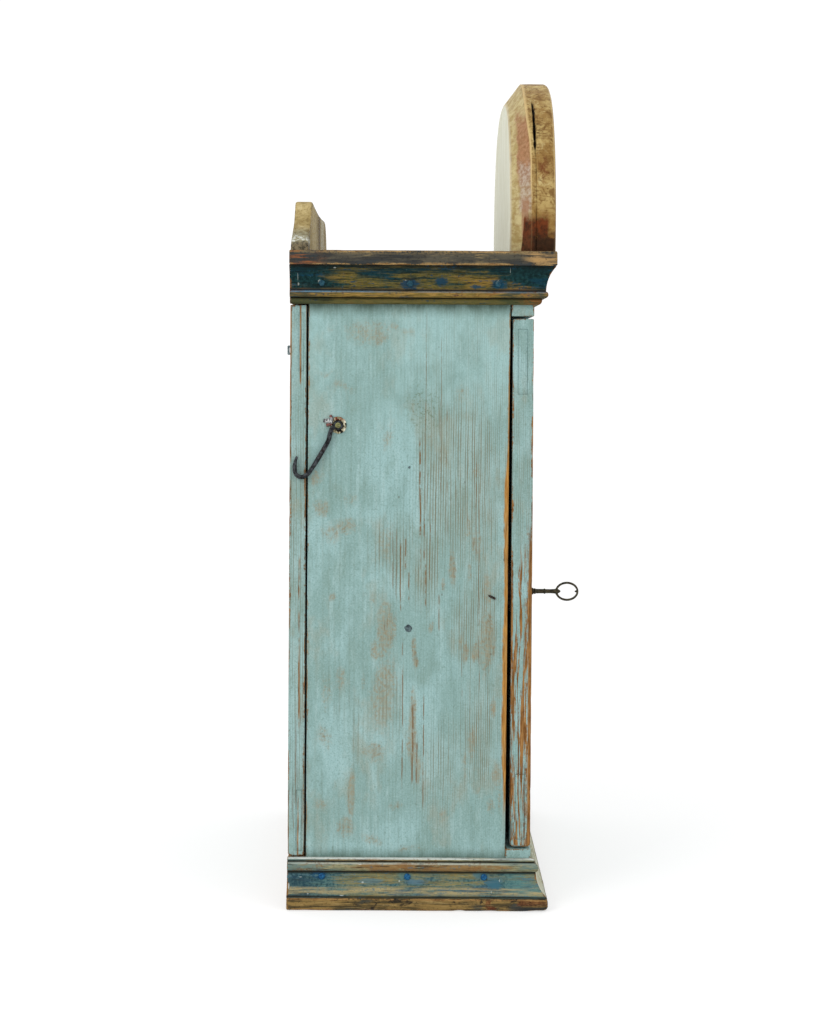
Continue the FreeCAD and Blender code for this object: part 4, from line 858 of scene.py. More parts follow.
def ragged(name):
    """The corroded washer: cream and olive crust with dark pits and rust, a painted highlight on the front of its rim
    and painted shadow in its cup.
    """
    s = Shader(name)
    a = s.noise(s.map(), 520, 4, 0.65)
    b = s.noise(s.map((1, 1, 1), (3, 1, 2)), 300, 4, 0.62)
    big = s.noise(s.map((1, 1, 1), (6, 2, 1)), 190, 3, 0.6)
    col = s.mix(s.step(a, 0.42, 0.58), srgb(104, 96, 62), srgb(216, 208, 172))
    col = s.mix(s.step(big, 0.52, 0.58), col, srgb(24, 20, 16))
    y, z = s.xyz(1), s.xyz(2)
    up = s.mul(s.step(z, 0.5325, 0.5355), s.step(b, 0.44, 0.54))
    col = s.mix(s.mul(up, 0.8), col, srgb(128, 62, 42))
    # painted highlight: near white on the rim's side toward the cupboard front
    pale = s.mul(s.step(y, 0.0850, 0.0828), s.step(big, 0.52, 0.46))
    col = s.mix(s.mul(pale, 0.9), col, srgb(238, 234, 212))
    # painted shadow: the cup inside the rim, round the pin, is dark
    inner = s.blob((0, 89.9, 528.9), (None, 6.4, 6.4), 0.86, 0.98)
    col = s.mix(s.mul(inner, 0.9), col, srgb(16, 15, 13))
    return s.out(col, s.step(a, 0.3, 0.7, 0.45, 0.75), s.bump(s.add(a, b), 0.8, 0.0008), spec=0.12)


def torn(name):
    """Torn ends of the washer: bright scraped metal, rust at the tips."""
    s = Shader(name)
    a = s.noise(s.map(), 500, 4, 0.65)
    y, z = s.xyz(1), s.xyz(2)
    c = s.noise(s.map((1, 1, 1), (2, 5, 1)), 330, 3, 0.6)
    col = s.mix(s.step(a, 0.38, 0.6), srgb(120, 126, 130), srgb(214, 218, 216))
    red = s.mx(s.step(z, 0.5366, 0.5378), s.step(z, 0.5314, 0.5304))
    col = s.mix(s.mul(red, 0.9), col, s.mix(s.step(a, 0.4, 0.6), srgb(136, 54, 36), srgb(78, 36, 26)))
    pits = s.mul(s.step(c, 0.54, 0.60), s.step(y, 0.0965, 0.0985))
    col = s.mix(s.mul(pits, 0.9), col, srgb(30, 24, 22))
    tip = s.mx(s.step(y, 0.1038, 0.1052), s.step(y, 0.0975, 0.0955))
    col = s.mix(s.mul(tip, 0.9), col, srgb(30, 24, 22))
    return s.out(col, s.step(a, 0.3, 0.7, 0.35, 0.6), s.bump(a, 0.6, 0.0005), 0.2, spec=0.35)


def painted_iron(name, a_col, b_col, worn_col, amount=0.8):
    s = Shader(name)
    a = s.noise(s.map(), 420, 5, 0.65)
    b = s.noise(s.map((1, 1, 1), (5, 1, 2)), 260, 4, 0.6)
    col = s.mix(s.step(a, 0.38, 0.62), srgb(*a_col), srgb(*b_col))
    col = s.mix(s.step(b, 0.56, 0.66, 0, amount), col, srgb(*worn_col))
    return s.out(col, s.step(a, 0.3, 0.7, 0.4, 0.65), s.bump(a, 0.5, 0.0004), spec=0.10)


M_SIDE = blue_paint("blue_side_left", "Z", 0.0, PATCHES, ZONES, LINES, wear=-0.01, wood="sand", special=side_special, edge_wear=0.7, shade_and_dirt=(53, 662),
                    rings=(3.5, 800.0, 0.012, 0.0026, -0.2))
M_SIDE_R = blue_paint("blue_side_right", "Z", 2.3, [((c[0] * -0.6, 720 - c[1]), r, p) for c, r, p in PATCHES[:14]], [((20, 330), (60, 200), 0.8)], wear=0.0)
M_STILE = blue_paint("blue_door_edge", "Z", 4.1, wear=-0.01, wood="orange", special=door_edge_special, ring=420, wander=0.008, wander_scale=12.0,
                     zones=[((-112, 480), (30, 160), 0.45)], rings=(2.3, 0.0, 0.012, 0.004))
M_BLUE_Z = blue_paint("blue_upright", "Z", 6.7, wear=0.03)
M_BLUE_X = blue_paint("blue_rail", "X", 8.9, wear=0.03)
M_BLUE_XR = blue_paint("blue_rail_rear", "X", 9.6, wear=0.04)
M_STRIP = blue_paint("blue_rear_edge", "Z", 11.3, wear=0.01, wood="brown", special=strip_special, ring=480,
                     zones=[((134, 360), (30, 420), 0.5)], rings=(2.6, 0.0, 0.010, 0.003))
M_PANEL = blue_paint("blue_panel", "Z", 13.9, wear=0.02, ring=150, wander=0.02)
M_CREST_FRONT = bare_pine("crest_wood_face", "X", 5.0, (182, 148, 96), (140, 100, 56))
M_CORN_Y = moulding_paint("cornice_paint_side", "Y", 0.0)
M_CORN_X = moulding_paint("cornice_paint_front", "X", 1.7)
M_BASE_Y = moulding_paint("base_paint_side", "Y", 3.1, "base")
M_BASE_X = moulding_paint("base_paint_front", "X", 4.9, "pale")
M_TOP = edge_board_paint("top_board_paint", 0.0)
M_BOTTOM = edge_board_paint("bottom_board_paint", 2.0, "bottom")
M_PINE_X = bare_pine("pine_inside", "X", 1.0)
M_PINE_DARK = bare_pine("pine_rail", "X", 2.0, (168, 132, 88), (124, 88, 52))
M_PEG = bare_pine("pine_peg", "Y", 3.0, (150, 118, 80), (108, 78, 48))
M_CREST = crest_wood("crest_wood_arch", 0.0)
M_RCREST = rear_crest_wood("crest_wood_rear", 1.0)
M_IRON = iron("iron_dark", (36, 33, 30), (84, 78, 72), (98, 56, 34), 0.6)
M_HOOK = iron("iron_hook", (16, 18, 20), (78, 82, 86), (52, 40, 34), 0.35, metallic=0.2, scale=260)
M_KEY = iron("iron_key", (38, 36, 28), (92, 88, 68), (74, 56, 36), 0.4, metallic=0.4)
M_BOSS = iron("brass_boss", (104, 104, 62), (164, 164, 116), (40, 36, 26), 0.8, (0.35, 0.6), 0.3, scale=520)
M_WASHER = ragged("washer_crust")
M_TORN = torn("washer_torn_ends")
M_BLUENAIL = painted_iron("nail_blue", (14, 62, 104), (40, 104, 146), (22, 28, 34), 0.7)
M_CNAIL = painted_iron("nail_dark", (18, 52, 70), (44, 84, 98), (140, 150, 146), 0.5)
M_SNAIL = painted_iron("nail_grey", (52, 64, 70), (96, 114, 116), (34, 32, 32))
M_PULL = iron("iron_pull_grey", (92, 104, 108), (150, 164, 166), (122, 106, 86), 0.5, metallic=0.0)

# ------------------------------------------------------------------ carcass
SIDE_FRONT_TOP, SIDE_FRONT_LOW, SIDE_BACK = -98.55, -96.15, 122.95


def side_warp(p):
    z = p[2]
    f = SIDE_FRONT_TOP + (SIDE_FRONT_LOW - SIDE_FRONT_TOP) * (703.7 - z) / 690.7
    k = (SIDE_BACK - f) / (SIDE_BACK - SIDE_FRONT_TOP)
    return [p[0], SIDE_BACK + (p[1] - SIDE_BACK) * k, z]


CRACKS = [(-5.4, 105, 237, 0.9), (-2.6, 168, 300, 0.5), (7.0, 130, 236, 0.8), (-14.0, 320, 520, 0.35), (38.0, 190, 320, 0.3)]


POCKET_Y = (-94.4, -88.47)      # before the board is warped to its slanting front
POCKET_Z = (350.4, 361.8)


def side_carve(x, y, z, d):
    if x > -201.0 and POCKET_Y[0] < y < POCKET_Y[1] and POCKET_Z[0] < z < POCKET_Z[1]:
        return 8.0          # the pocket the lock bolt shoots into
    if x > -219.0:
        return 0.0
    depth = 0.0
    for cy, z0, z1, deep in CRACKS:
        c = cy + 1.2 * nz(0, 0, z, 14, cy)
        t = max(0.0, 1.0 - abs(y - c) / 0.55)
        if t > 0.0 and z0 < z < z1:
            fade = min(1.0, (z - z0) / 20.0, (z1 - z) / 20.0)
            depth = max(depth, deep * t * fade * (0.6 + 0.8 * abs(nz(0, y, z, 30, 2))))
    return depth


crack_lines = []
for cy, z0, z1, deep in CRACKS:
    crack_lines += [cy + o for o in (-1.8, -1.2, -0.6, 0.0, 0.6, 1.2, 1.8)]
board("side_left", "side_board_left", "case", M_SIDE, "blue_paint", (10, 8, 8), 1.3, 1.0,
      extra=((), crack_lines + [c + o for c in POCKET_Y for o in (-0.12, 0.12)], [c + o for c in POCKET_Z for o in (-0.12, 0.12)]),
      carve=side_carve, warp=side_warp, wave=0.5, chips=0.9)
board("side_right", "side_board_right", "case", M_SIDE_R, "blue_paint", (10, 12, 12), 1.3, 2.0, wave=0.5)
board("floor", "floor_board", "case", M_PINE_X, "bare_pine", (20, 20, 8), 1.0, 3.0)
board("shelf_low", "shelf_lower", "case", M_PINE_X, "bare_pine", (20, 20, 8), 1.2, 4.0)
board("shelf_high", "shelf_upper", "case", M_PINE_X, "bare_pine", (20, 20, 8), 1.2, 5.0)
board("top_rail_front", "front_top_rail", "case", M_BLUE_X, "blue_paint", (14, 8, 8), 1.2, 6.0)
board("low_rail_front", "front_bottom_rail", "case", M_BLUE_X, "blue_paint", (14, 8, 8), 1.2, 7.0,
      box=((-220.0, -124.5, 13.0), (220.0, -96.4, 63.5)),
      warp=lambda p: [p[0], p[1] - 2.35 * smooth01((p[0] + 220) / 440.0) * max(0.0, (p[1] + 124.5) / 28.1), p[2]])
board("top_rail_rear", "rear_top_rail", "case", M_PINE_DARK, "bare_pine", (16, 8, 8), 1.2, 8.0)
board("low_rail_rear", "rear_bottom_rail", "case", M_PINE_DARK, "bare_pine", (16, 8, 8), 1.2, 9.0)
board("top_plate", "top_board", "case", M_TOP, "edge_board", (9, 7, 6), 1.5, 10.0, wave=0.4, chips=1.6)


def bottom_wear(p):
    # the front end of the bottom board is the most knocked about
    return 1.0 + 1.6 * smooth01((-p[1] - 110.0) / 30.0)


board("bottom_plate", "bottom_board", "case", M_BOTTOM, "edge_board", (9, 7, 6), 1.7, 11.0, wave=0.4, chips=1.8, r_of=bottom_wear)

# ------------------------------------------------------------------ mouldings
CORNICE = [
    (0.0, 661.7), ("L", 4.0, 661.7), ("A", 7.6, 664.6, 7.4, 668.4), ("L", 9.6, 668.9),
    ("A", 14.4, 672.6, 12.2, 676.2), ("L", 12.2, 676.9), ("A", 14.6, 690.5, 22.0, 702.6),
    ("L", 22.0, 703.7),
]
BASE = [
    (0.0, 13.0), ("L", 17.5, 13.0), ("L", 17.5, 14.4), ("A", 9.0, 24.5, 5.6, 38.8),
    ("L", 5.6, 39.5), ("A", 8.2, 44.6, 5.0, 49.6), ("L", 3.5, 50.0),
    ("A", 4.7, 51.9, 3.4, 53.7), ("L", 0.0, 53.7),
]


def arc_points(a, b, c, n):
    """n points after a on the circle through a, b and c, ending at c."""
    ax, ay = a
    bx, by = b
    cx, cy = c
    d = 2 * (ax * (by - cy) + bx * (cy - ay) + cx * (ay - by))
    ux = ((ax * ax + ay * ay) * (by - cy) + (bx * bx + by * by) * (cy - ay) + (cx * cx + cy * cy) * (ay - by)) / d
    uy = ((ax * ax + ay * ay) * (cx - bx) + (bx * bx + by * by) * (ax - cx) + (cx * cx + cy * cy) * (bx - ax)) / d
    r = math.hypot(ax - ux, ay - uy)
    t0 = math.atan2(ay - uy, ax - ux)
    t1 = math.atan2(by - uy, bx - ux)
    t2 = math.atan2(cy - uy, cx - ux)
    turn = (t2 - t0) % (2 * math.pi)
    if (t1 - t0) % (2 * math.pi) > turn:
        turn -= 2 * math.pi
    return [(ux + r * math.cos(t0 + turn * i / n), uy + r * math.sin(t0 + turn * i / n)) for i in range(1, n + 1)]


def profile_points(profile, cove_from, cove_to):
    """(p, z, bead, groove) along the profile."""
    pts = [profile[0]]
    for seg in profile[1:]:
        here = pts[-1]
        if seg[0] == "L":
            end = (seg[1], seg[2])
            n = max(1, int(math.hypot(end[0] - here[0], end[1] - here[1]) / 1.6))
            pts += [(here[0] + (end[0] - here[0]) * i / n, here[1] + (end[1] - here[1]) * i / n) for i in range(1, n + 1)]
        else:
            pts += arc_points(here, (seg[1], seg[2]), (seg[3], seg[4]), 12)
    out = []
    corners = [profile[0]] + [(s[-2], s[-1]) for s in profile[1:]]
    for p, z in pts:
        bead = 0.0 if cove_from < z < cove_to else 1.0
        groove = 0.0
        for c in corners[2:-2]:
            groove = max(groove, math.exp(-(((p - c[0]) ** 2 + (z - c[1]) ** 2) / 0.9)))
        out.append((p, z, bead, groove))
    return out


HALF, FRONT, BACK = 220.0, -124.5, 143.0


def moulding(name, node, prof, kind, mat, seed, step=6.0):
    """A closed length of moulding; a side length shows bare wood on its rear end."""
    verts, faces, tag, groove, edge = [], [], [], [], []
    if prof[-1][0] > 0.0:
        prof = prof + [(0.0, prof[-1][1], 0.0, 0.0)]
    length = 2 * HALF if kind == "front" else BACK - FRONT
    stations = [0.0, 0.002, 0.005, 0.01, 0.018]
    n = int(length / step)
    stations += [0.018 + (0.982 - 0.018) * i / n for i in range(1, n)]
    stations += [0.982, 0.99, 0.995, 0.998, 1.0]
    zs = [q[1] for q in prof]
    zmid = 0.5 * (min(zs) + max(zs))
    for s in stations:
        for p, z, bead, grv in prof:
            pp = p
            if kind == "front":
                x = -(HALF + p) + 2 * (HALF + p) * s
                along = x
            else:
                y = BACK + (FRONT - p - BACK) * s
                along = y
            dent = 0.0
            if p > 1.0:
                dent = 0.22 * (0.5 + 0.5 * nz(along, z, p, 22, seed))
                dent += 0.9 * max(0.0, nz(along, z * 2.2, 3.0, 75, seed + 2) - 0.25) * (0.6 + 0.9 * bead)
                dent += 0.35 * bead * max(0.0, nz(along, 0, 0, 30, seed + 4))
                dent += 0.25 * grv
            pp = max(0.0, p - dent)
            end = min(s, 1 - s) * length
            e = math.exp(-end / 2.5) if kind != "front" else math.exp(-end / 2.5)
            if bead and p > 4.0:
                e = max(e, 0.45 + 0.25 * nz(along, z, 0, 40, seed + 9))
            if kind == "front":
                verts.append((-(HALF + pp) + 2 * (HALF + pp) * s, FRONT - pp, z))
            else:
                y = BACK + (FRONT - pp - BACK) * s
                sx = -1 if kind == "left" else 1
                verts.append((sx * (HALF + pp), y, z))
            tag.append(bead)
            groove.append(grv)
            edge.append(max(0.0, e))
    m = len(prof)
    for a in range(len(stations) - 1):
        for b in range(m):
            c = (b + 1) % m
            q = [a * m + b, a * m + c, (a + 1) * m + c, (a + 1) * m + b]
            faces.append(q if kind == "left" else q[::-1])
    first = list(range(m))
    last = [(len(stations) - 1) * m + i for i in range(m)]
    faces.append(first[::-1] if kind == "left" else first)
    faces.append(last if kind == "left" else last[::-1])
    ob = piece(name, verts, faces, "case", [mat, M_PINE_DARK], (node,), {"tag": tag, "groove": groove, "edge": edge}, angle=50)
    if kind != "front":
        for p in ob.data.polygons:
            if len(p.vertices) == m and p.normal.y > 0.9:
                p.material_index = 1
    return ob


corn = profile_points(CORNICE, 677.0, 704.0)
bas = profile_points(BASE, 13.0, 39.0)
moulding("cornice_side_left", "cornice_left", corn, "left", M_CORN_Y, 1.0, 4.0)
moulding("cornice_side_right", "cornice_right", corn, "right", M_CORN_Y, 2.0)
moulding("cornice_across", "cornice_front", corn, "front", M_CORN_X, 3.0)
moulding("base_side_left", "base_moulding_left", bas, "left", M_BASE_Y, 4.0, 4.0)
moulding("base_side_right", "base_moulding_right", bas, "right", M_BASE_Y, 5.0)
moulding("base_across", "base_moulding_front", bas, "front", M_BASE_X, 6.0)

# ------------------------------------------------------------------ front crest
CREST_Z = 719.5
CREST_REAR = -97.5


def arch(half_w, height, n=150, foot=4.0):
    pts = []
    for i in range(n + 1):
        a = math.pi * i / n
        c, s = math.cos(a), math.sin(a)
        x = -half_w * math.copysign(abs(c) ** (2.0 / 2.6), c)
        z = height * max(0.0, s) ** (2.0 / 2.6)
        k = max(0.0, 1.0 - z / 55.0)
        x *= 1.0 - foot * k * k / half_w
        pts.append((x, z))
    return pts


def crack_at(x, z, seed):
    """How open the joint between the two boards is at a height on the arch, 0..1: a hair line low down, a split above it."""
    ragged = 0.85 + 0.7 * nz(x * 0.2, 0, z, 130, seed + 5) + 0.6 * nz(x * 0.2, 0, z, 330, seed + 6)
    hair = 0.34 * smooth01((168.0 - z) / 10.0) * (0.7 + 0.6 * nz(0, 0, z, 60, seed + 9))
    split = smooth01((z - 111.0) / 9.0) * smooth01((178.0 - z) / 18.0)
    return max(0.0, min(1.0, max(hair, 0.95 * split * ragged)))


def joint_at(z):
    """Where the joint line runs, off the plane between the boards: it leans forward low down."""
    return max(-1.3, min(1.2, (z - 130.0) * 0.03)) + 0.35 * nz(0, 0, z, 70, 4.4)


def crest(name, node, rings, seed, front_from=None):
    """rings: (y, half width, height, jitter, tag, face, groove, edge) from one face of the board to the other."""
    verts, faces = [], []
    attrs = {"tag": [], "face": [], "groove": [], "edge": []}
    n = 190
    for y, hw, h, jit, tag, face, groove, edge in rings:
        for i, (x, z) in enumerate(arch(hw, h, n, 4.0 * min(1.0, hw / 205.0))):
            wob = jit * nz(x, y * 0.3, z, 24, seed) + 0.5 * jit * nz(x, y * 0.3, z, 70, seed + 1)
            open_here = groove * crack_at(x, z, 3.0)
            yy = y
            if tag > 0.5 or edge > 0.8:
                # the chamfer's arris was cut by hand and wanders
                wander = 1.1 * nz(x * 0.3, 0, z, 22, seed + 7) + 0.6 * nz(x * 0.3, 0, z, 60, seed + 8) + 4.2 * smooth01((z - 95.0) / 80.0)
                yy = y + wander * min(1.0, abs(y - CREST_REAR) / 22.0) * (1.0 if y > -121 else 0.0)
            elif groove > 0.05 and x < 0.0:
                yy = y + joint_at(z) * groove
            cut = 4.4 * open_here
            r = math.hypot(x, z + 1e-6)
            f = max(0.0, 1.0 - (abs(wob) + cut) / max(r, 1.0)) if r > 1 else 1.0
            verts.append((x * f, yy, CREST_Z + max(0.0, z * f)))
            attrs["tag"].append(tag)
            attrs["face"].append(face)
            attrs["groove"].append(open_here if groove < 0.9 else max(open_here, 0.08))
            attrs["edge"].append(edge)
    m = n + 1
    for a in range(len(rings) - 1):
        for b in range(n):
            faces.append([a * m + b, a * m + b + 1, (a + 1) * m + b + 1, (a + 1) * m + b])
    foot = [a * m for a in range(len(rings))] + [a * m + n for a in range(len(rings) - 1, -1, -1)]
    faces.append(foot)
    ob = piece(name, verts, faces, "case", [M_CREST, M_CREST_FRONT], (node,), attrs, angle=40)
    if front_from is not None:
        for p in ob.data.polygons:
            if p.center[1] < front_from * MM and abs(p.normal[1]) > 0.9:
                p.material_index = 1
    return ob


def face_rings(y, hw, h, face, toward):
    out = []
    for f in (0.985, 0.96, 0.9, 0.8, 0.68, 0.54, 0.4, 0.26, 0.12, 0.001):
        out.append((y, hw * f, h * f, 0.0, 0.0, face, 0.0, 0.0))
    return out if toward else out[::-1]


# front board: joint side first (greater y), rounded front arris, front face
W, H = 235.0, 210.0
rings = face_rings(-124.0, W, H, 0.0, False)
rings += [(-124.0, W - 0.25, H - 0.25, 0.4, 0, 0, 1.0, 0.0), (-124.5, W - 0.1, H - 0.1, 0.4, 0, 0, 0.85, 0.0), (-125.2, W, H, 0.4, 0, 0, 0.45, 0.0),
          (-126.2, W, H, 0.4, 0, 0, 0.12, 0.0), (-127.5, W, H, 0.4, 0, 0, 0, 0.0)]
rings += [(y, W, H, 0.5, 0, 0, 0, 0.0) for y in (-130.0, -133.0, -136.0, -139.0, -141.5)]
rings += [(-143.2, W - 0.5, H - 0.5, 0.4, 0, 0, 0, 0.35), (-144.8, W - 1.5, H - 1.5, 0.4, 0, 0, 0, 0.7),
          (-146.1, W - 3.1, H - 3.1, 0.4, 0, 0, 0, 0.9), (-146.75, W - 5.0, H - 5.0, 0.3, 0, 0, 0, 0.7), (-146.85, W - 7.5, H - 7.5, 0.2, 0, 0, 0, 0.2)]
rings += face_rings(-146.85, W - 7.5, H - 7.5, 0.0, True)
crest("crest_arch_front", "crest_front", rings, 1.0, -146.0)
# backing board: rear face, chamfer, narrow flat, joint
W2, H2 = 214.0, 186.0
rings = face_rings(CREST_REAR, W2, H2, 1.0, False)
rings += [(CREST_REAR - 0.05, W2, H2, 0.5, 0, 0.6, 0, 0.9)]
for i in range(1, 9):
    t = i / 9.0
    rings.append((CREST_REAR - 22.75 * t, W2 + (W - W2) * t, H2 + (H - H2) * t, 0.6, 1.0, 0, 0, 0.05))
rings += [(-119.6, W - 0.6, H - 0.6, 0.5, 0.6, 0, 0, 0.9), (-120.3, W - 0.1, H - 0.1, 0.5, 0, 0, 0, 0.9), (-121.4, W, H, 0.5, 0, 0, 0, 0.2),
          (-122.4, W, H, 0.4, 0, 0, 0.10, 0), (-123.3, W - 0.1, H - 0.1, 0.4, 0, 0, 0.60, 0), (-124.0, W - 0.25, H - 0.25, 0.4, 0, 0, 1.0, 0)]
rings += face_rings(-124.0, W - 0.25, H - 0.25, 0.0, True)
crest("crest_arch_back", "crest_backing", rings, 2.0)

# ------------------------------------------------------------------ rear crest
RC = 26.0
RC_LEFT = [(-220.0, 727.0), (-210.0, 733.5), (-190.0, 743.0), (-167.0, 755.0), (-154.0, 768.0), (-145.0, 778.0),
           (-130.0, 781.0), (-80.0, 779.6), (-20.0, 778.0), (RC - 0.2, 777.6)]
RC_RIGHT = [(RC + 0.2, 777.6), (90.0, 779.2), (150.0, 781.0), (176.0, 780.0), (196.0, 773.5), (210.0, 761.0),
            (218.0, 744.0), (220.0, 730.0)]


def spline(pts, n):
    """Points on a smooth curve through pts."""
    out = []
    for i in range(len(pts) - 1):
        p0 = pts[max(0, i - 1)]
        p1, p2 = pts[i], pts[i + 1]
        p3 = pts[min(len(pts) - 1, i + 2)]
        for k in range(n):
            t = k / n
            q = []
            for a in range(len(p1)):
                q.append(0.5 * ((2 * p1[a]) + (-p0[a] + p2[a]) * t + (2 * p0[a] - 5 * p1[a] + 4 * p2[a] - p3[a]) * t * t
                                + (-p0[a] + 3 * p1[a] - 3 * p2[a] + p3[a]) * t * t * t))
            out.append(tuple(q))
    out.append(tuple(pts[-1]))
    return out


def rear_board(name, node, top, seed):
    """A shaped board as columns from its foot to its curved top, with rounded arrises."""
    line = spline(top, 7)
    cols = []
    x0, x1 = line[0][0], line[-1][0]
    xs = sorted(set([round(p[0], 3) for p in line]))
    heights = {}
    for x, z in line:
        heights[round(x, 3)] = max(heights.get(round(x, 3), 0), z)
    verts, faces = [], []
    edge = []
    ys = [124.0, 124.3, 124.9, 126.0, 128.0, 131.0, 136.0, 139.0, 141.0, 142.1, 142.7, 143.0]
    rows = [0.0, 0.12, 0.25, 0.4, 0.55, 0.7, 0.82, 0.9, 0.95, 0.98, 1.0]
    grid = {}
    for i, x in enumerate(xs):
        ztop = heights[x]
        for k, f in enumerate(rows):
            for j, y in enumerate(ys):
                if 0 < i < len(xs) - 1 and k < len(rows) - 1 and 0 < j < len(ys) - 1 and k > 0:
                    continue
                z = CREST_Z + (ztop - CREST_Z) * f
                dy = min(y - 124.0, 143.0 - y)
                dz = ztop - z
                dx = min(x - x0, x1 - x)
                r = 1.6 * (1 + 0.5 * nz(x, y, z, 30, seed))
                px, py, pz = x, y, z
                if dy < r and dz < r * 1.2:
                    pz -= (r - dy) * 0.55 * (1 - dz / (r * 1.2))
                if dy < 0.01:
                    sgn = 1 if y < 130 else -1
                    py += sgn * 0.5 * max(0.0, 1 - dz / 3.0) + sgn * 0.25 * (0.5 + 0.5 * nz(x, y, z, 9, seed))
                e = math.exp(-min(max(dy, dz), max(dy, dx), max(dx, dz) + 2) / 2.4)
                grid[(i, j, k)] = len(verts)
                verts.append((px, py, pz))
                edge.append(e)
    ni, nj, nk = len(xs) - 1, len(ys) - 1, len(rows) - 1

    def quad(a, b, c, d):
        faces.append([grid[a], grid[b], grid[c], grid[d]])

    for i in range(ni):
        for k in range(nk):
            quad((i, 0, k), (i + 1, 0, k), (i + 1, 0, k + 1), (i, 0, k + 1))
            quad((i, nj, k), (i, nj, k + 1), (i + 1, nj, k + 1), (i + 1, nj, k))
        for j in range(nj):
            quad((i, j, nk), (i + 1, j, nk), (i + 1, j + 1, nk), (i, j + 1, nk))
            quad((i, j, 0), (i, j + 1, 0), (i + 1, j + 1, 0), (i + 1, j, 0))
    for k in range(nk):
        for j in range(nj):
            quad((0, j, k), (0, j, k + 1), (0, j + 1, k + 1), (0, j + 1, k))
            quad((ni, j, k), (ni, j + 1, k), (ni, j + 1, k + 1), (ni, j, k + 1))
    return piece(name, verts, faces, "case", M_RCREST, (node,), {"edge": edge}, angle=40)


rear_board("crest_rear_left", "rear_crest_left", RC_LEFT, 1.0)
rear_board("crest_rear_right", "rear_crest_right", RC_RIGHT, 2.0)

# ------------------------------------------------------------------ doors
DOOR_Y = (-124.15, -101.25)
DOOR_Z = (65.4, 646.6)


def outline_carve(rects, face, depth=1.3, width=0.5):
    """A fine open joint round each rectangle (y0, y1, z0, z1) on the stile's edge face; tag marks the tenon end."""
    def f(x, y, z, d):
        on = x < face[0] + 0.5 if face[1] < 0 else x > face[0] - 0.5
        if not on:
            return 0.0
        best, inside = 0.0, 0.0
        for y0, y1, z0, z1 in rects:
            dy = max(y0 - y, y - y1)
            dz = max(z0 - z, z - z1)
            m = max(dy, dz)
            best = max(best, 1.0 - abs(m) / width)
            if m < 0:
                inside = 1.0
        return (depth * max(0.0, best), inside)
    return f


def tenon_lines(rects):
    ys, zs = [], []
    for y0, y1, z0, z1 in rects:
        for a in (y0, y1):
            ys += [a - 0.55, a, a + 0.55]
        for a in (z0, z1):
            zs += [a - 0.55, a, a + 0.55]
    return ys, zs


F_TENONS = [(-117.4, -107.3, 564.0, 635.0), (-117.4, -107.3, 74.0, 146.0)]
ty, tz = tenon_lines(F_TENONS)


def stile_wear(p):
    low = smooth01((130.0 - p[2]) / 60.0)
    return 1.0 + 2.4 * low + 0.8 * smooth01((360 - p[2]) / 150.0)


board("door_lock_stile", "front_door_lock_stile", "front_door", M_STILE, "blue_paint", (10, 6, 6), 1.3, 21.0,
      extra=((), ty, tz), carve=outline_carve(F_TENONS, (-220.0, -1), 1.1), chips=1.4, r_of=stile_wear, wave=0.4)
board("door_hinge_stile", "front_door_hinge_stile", "front_door", M_BLUE_Z, "blue_paint", (10, 8, 10), 1.3, 22.0,
      extra=((), ty, tz), carve=outline_carve(F_TENONS, (220.0, 1), 1.1))
board("door_top_rail", "front_door_top_rail", "front_door", M_BLUE_X, "blue_paint", (12, 8, 10), 1.1, 23.0,
      box=((-152.0, DOOR_Y[0], 560.0), (152.0, DOOR_Y[1], 646.6)))
board("door_low_rail", "front_door_bottom_rail", "front_door", M_BLUE_X, "blue_paint", (12, 8, 10), 1.1, 24.0,
      box=((-152.0, DOOR_Y[0], 65.4), (152.0, DOOR_Y[1], 150.0)))


def field_carve(lo, hi, front, margin, bevel, rise):
    """Raised field: the face falls away to the tongue round its margin."""
    def f(x, y, z, d):
        if front < 0 and y > lo[1] + 0.5 or front > 0 and y < hi[1] - 0.5:
            return 0.0
        m = min(x - lo[0], hi[0] - x, z - lo[2], hi[2] - z)
        if m < margin:
            return rise
        if m < margin + bevel:
            return rise - (rise - 0.9) * (m - margin) / bevel
        if m < margin + bevel + 0.6:
            return 0.9 * (1 - (m - margin - bevel) / 0.6)
        return 0.0
    return f


def panel_piece(name, node, body, mat, front, margin, bevel, rise, seed):
    a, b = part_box(node)
    lo, hi = [c * 1000 for c in a], [c * 1000 for c in b]
    ex = []
    ez = []
    for o in (margin, margin + bevel, margin + bevel + 0.3, margin + bevel + 0.6, margin + bevel + 1.4):
        ex += [lo[0] + o, hi[0] - o]
        ez += [lo[2] + o, hi[2] - o]
    board(name, node, body, mat, "blue_paint", (12, 4, 12), 0.6, seed, extra=(ex, (), ez),
          carve=field_carve(lo, hi, front, margin, bevel, rise), wave=0.2)


panel_piece("door_panel", "front_door_panel", "front_door", M_PANEL, -1, 10.0, 30.0, 5.6, 25.0)

R_TENONS = [(128.0, 133.5, 588.0, 652.0), (128.0, 133.5, 60.0, 127.0)]
ry, rz = tenon_lines(R_TENONS)
board("rear_free_stile", "rear_door_free_stile", "rear_door", M_STRIP, "blue_paint", (10, 5, 6), 1.2, 31.0,
      extra=((), ry, rz), carve=outline_carve(R_TENONS, (-220.0, -1), 1.0), chips=1.4, wave=0.4)
board("rear_hinge_stile", "rear_door_hinge_stile", "rear_door", M_BLUE_Z, "blue_paint", (10, 8, 10), 1.2, 32.0,
      extra=((), ry, rz), carve=outline_carve(R_TENONS, (220.0, 1), 1.0))
board("rear_top_rail_leaf", "rear_door_top_rail", "rear_door", M_BLUE_XR, "blue_paint", (12, 8, 10), 1.1, 33.0,
      box=((-158.0, 125.0, 582.0), (158.0, 143.0, 660.5)))
board("rear_low_rail_leaf", "rear_door_bottom_rail", "rear_door", M_BLUE_XR, "blue_paint", (12, 8, 10), 1.1, 34.0,
      box=((-158.0, 125.0, 54.5), (158.0, 143.0, 132.0)))
panel_piece("rear_panel", "rear_door_panel", "rear_door", M_PANEL, 1, 10.0, 26.0, 6.4, 35.0)


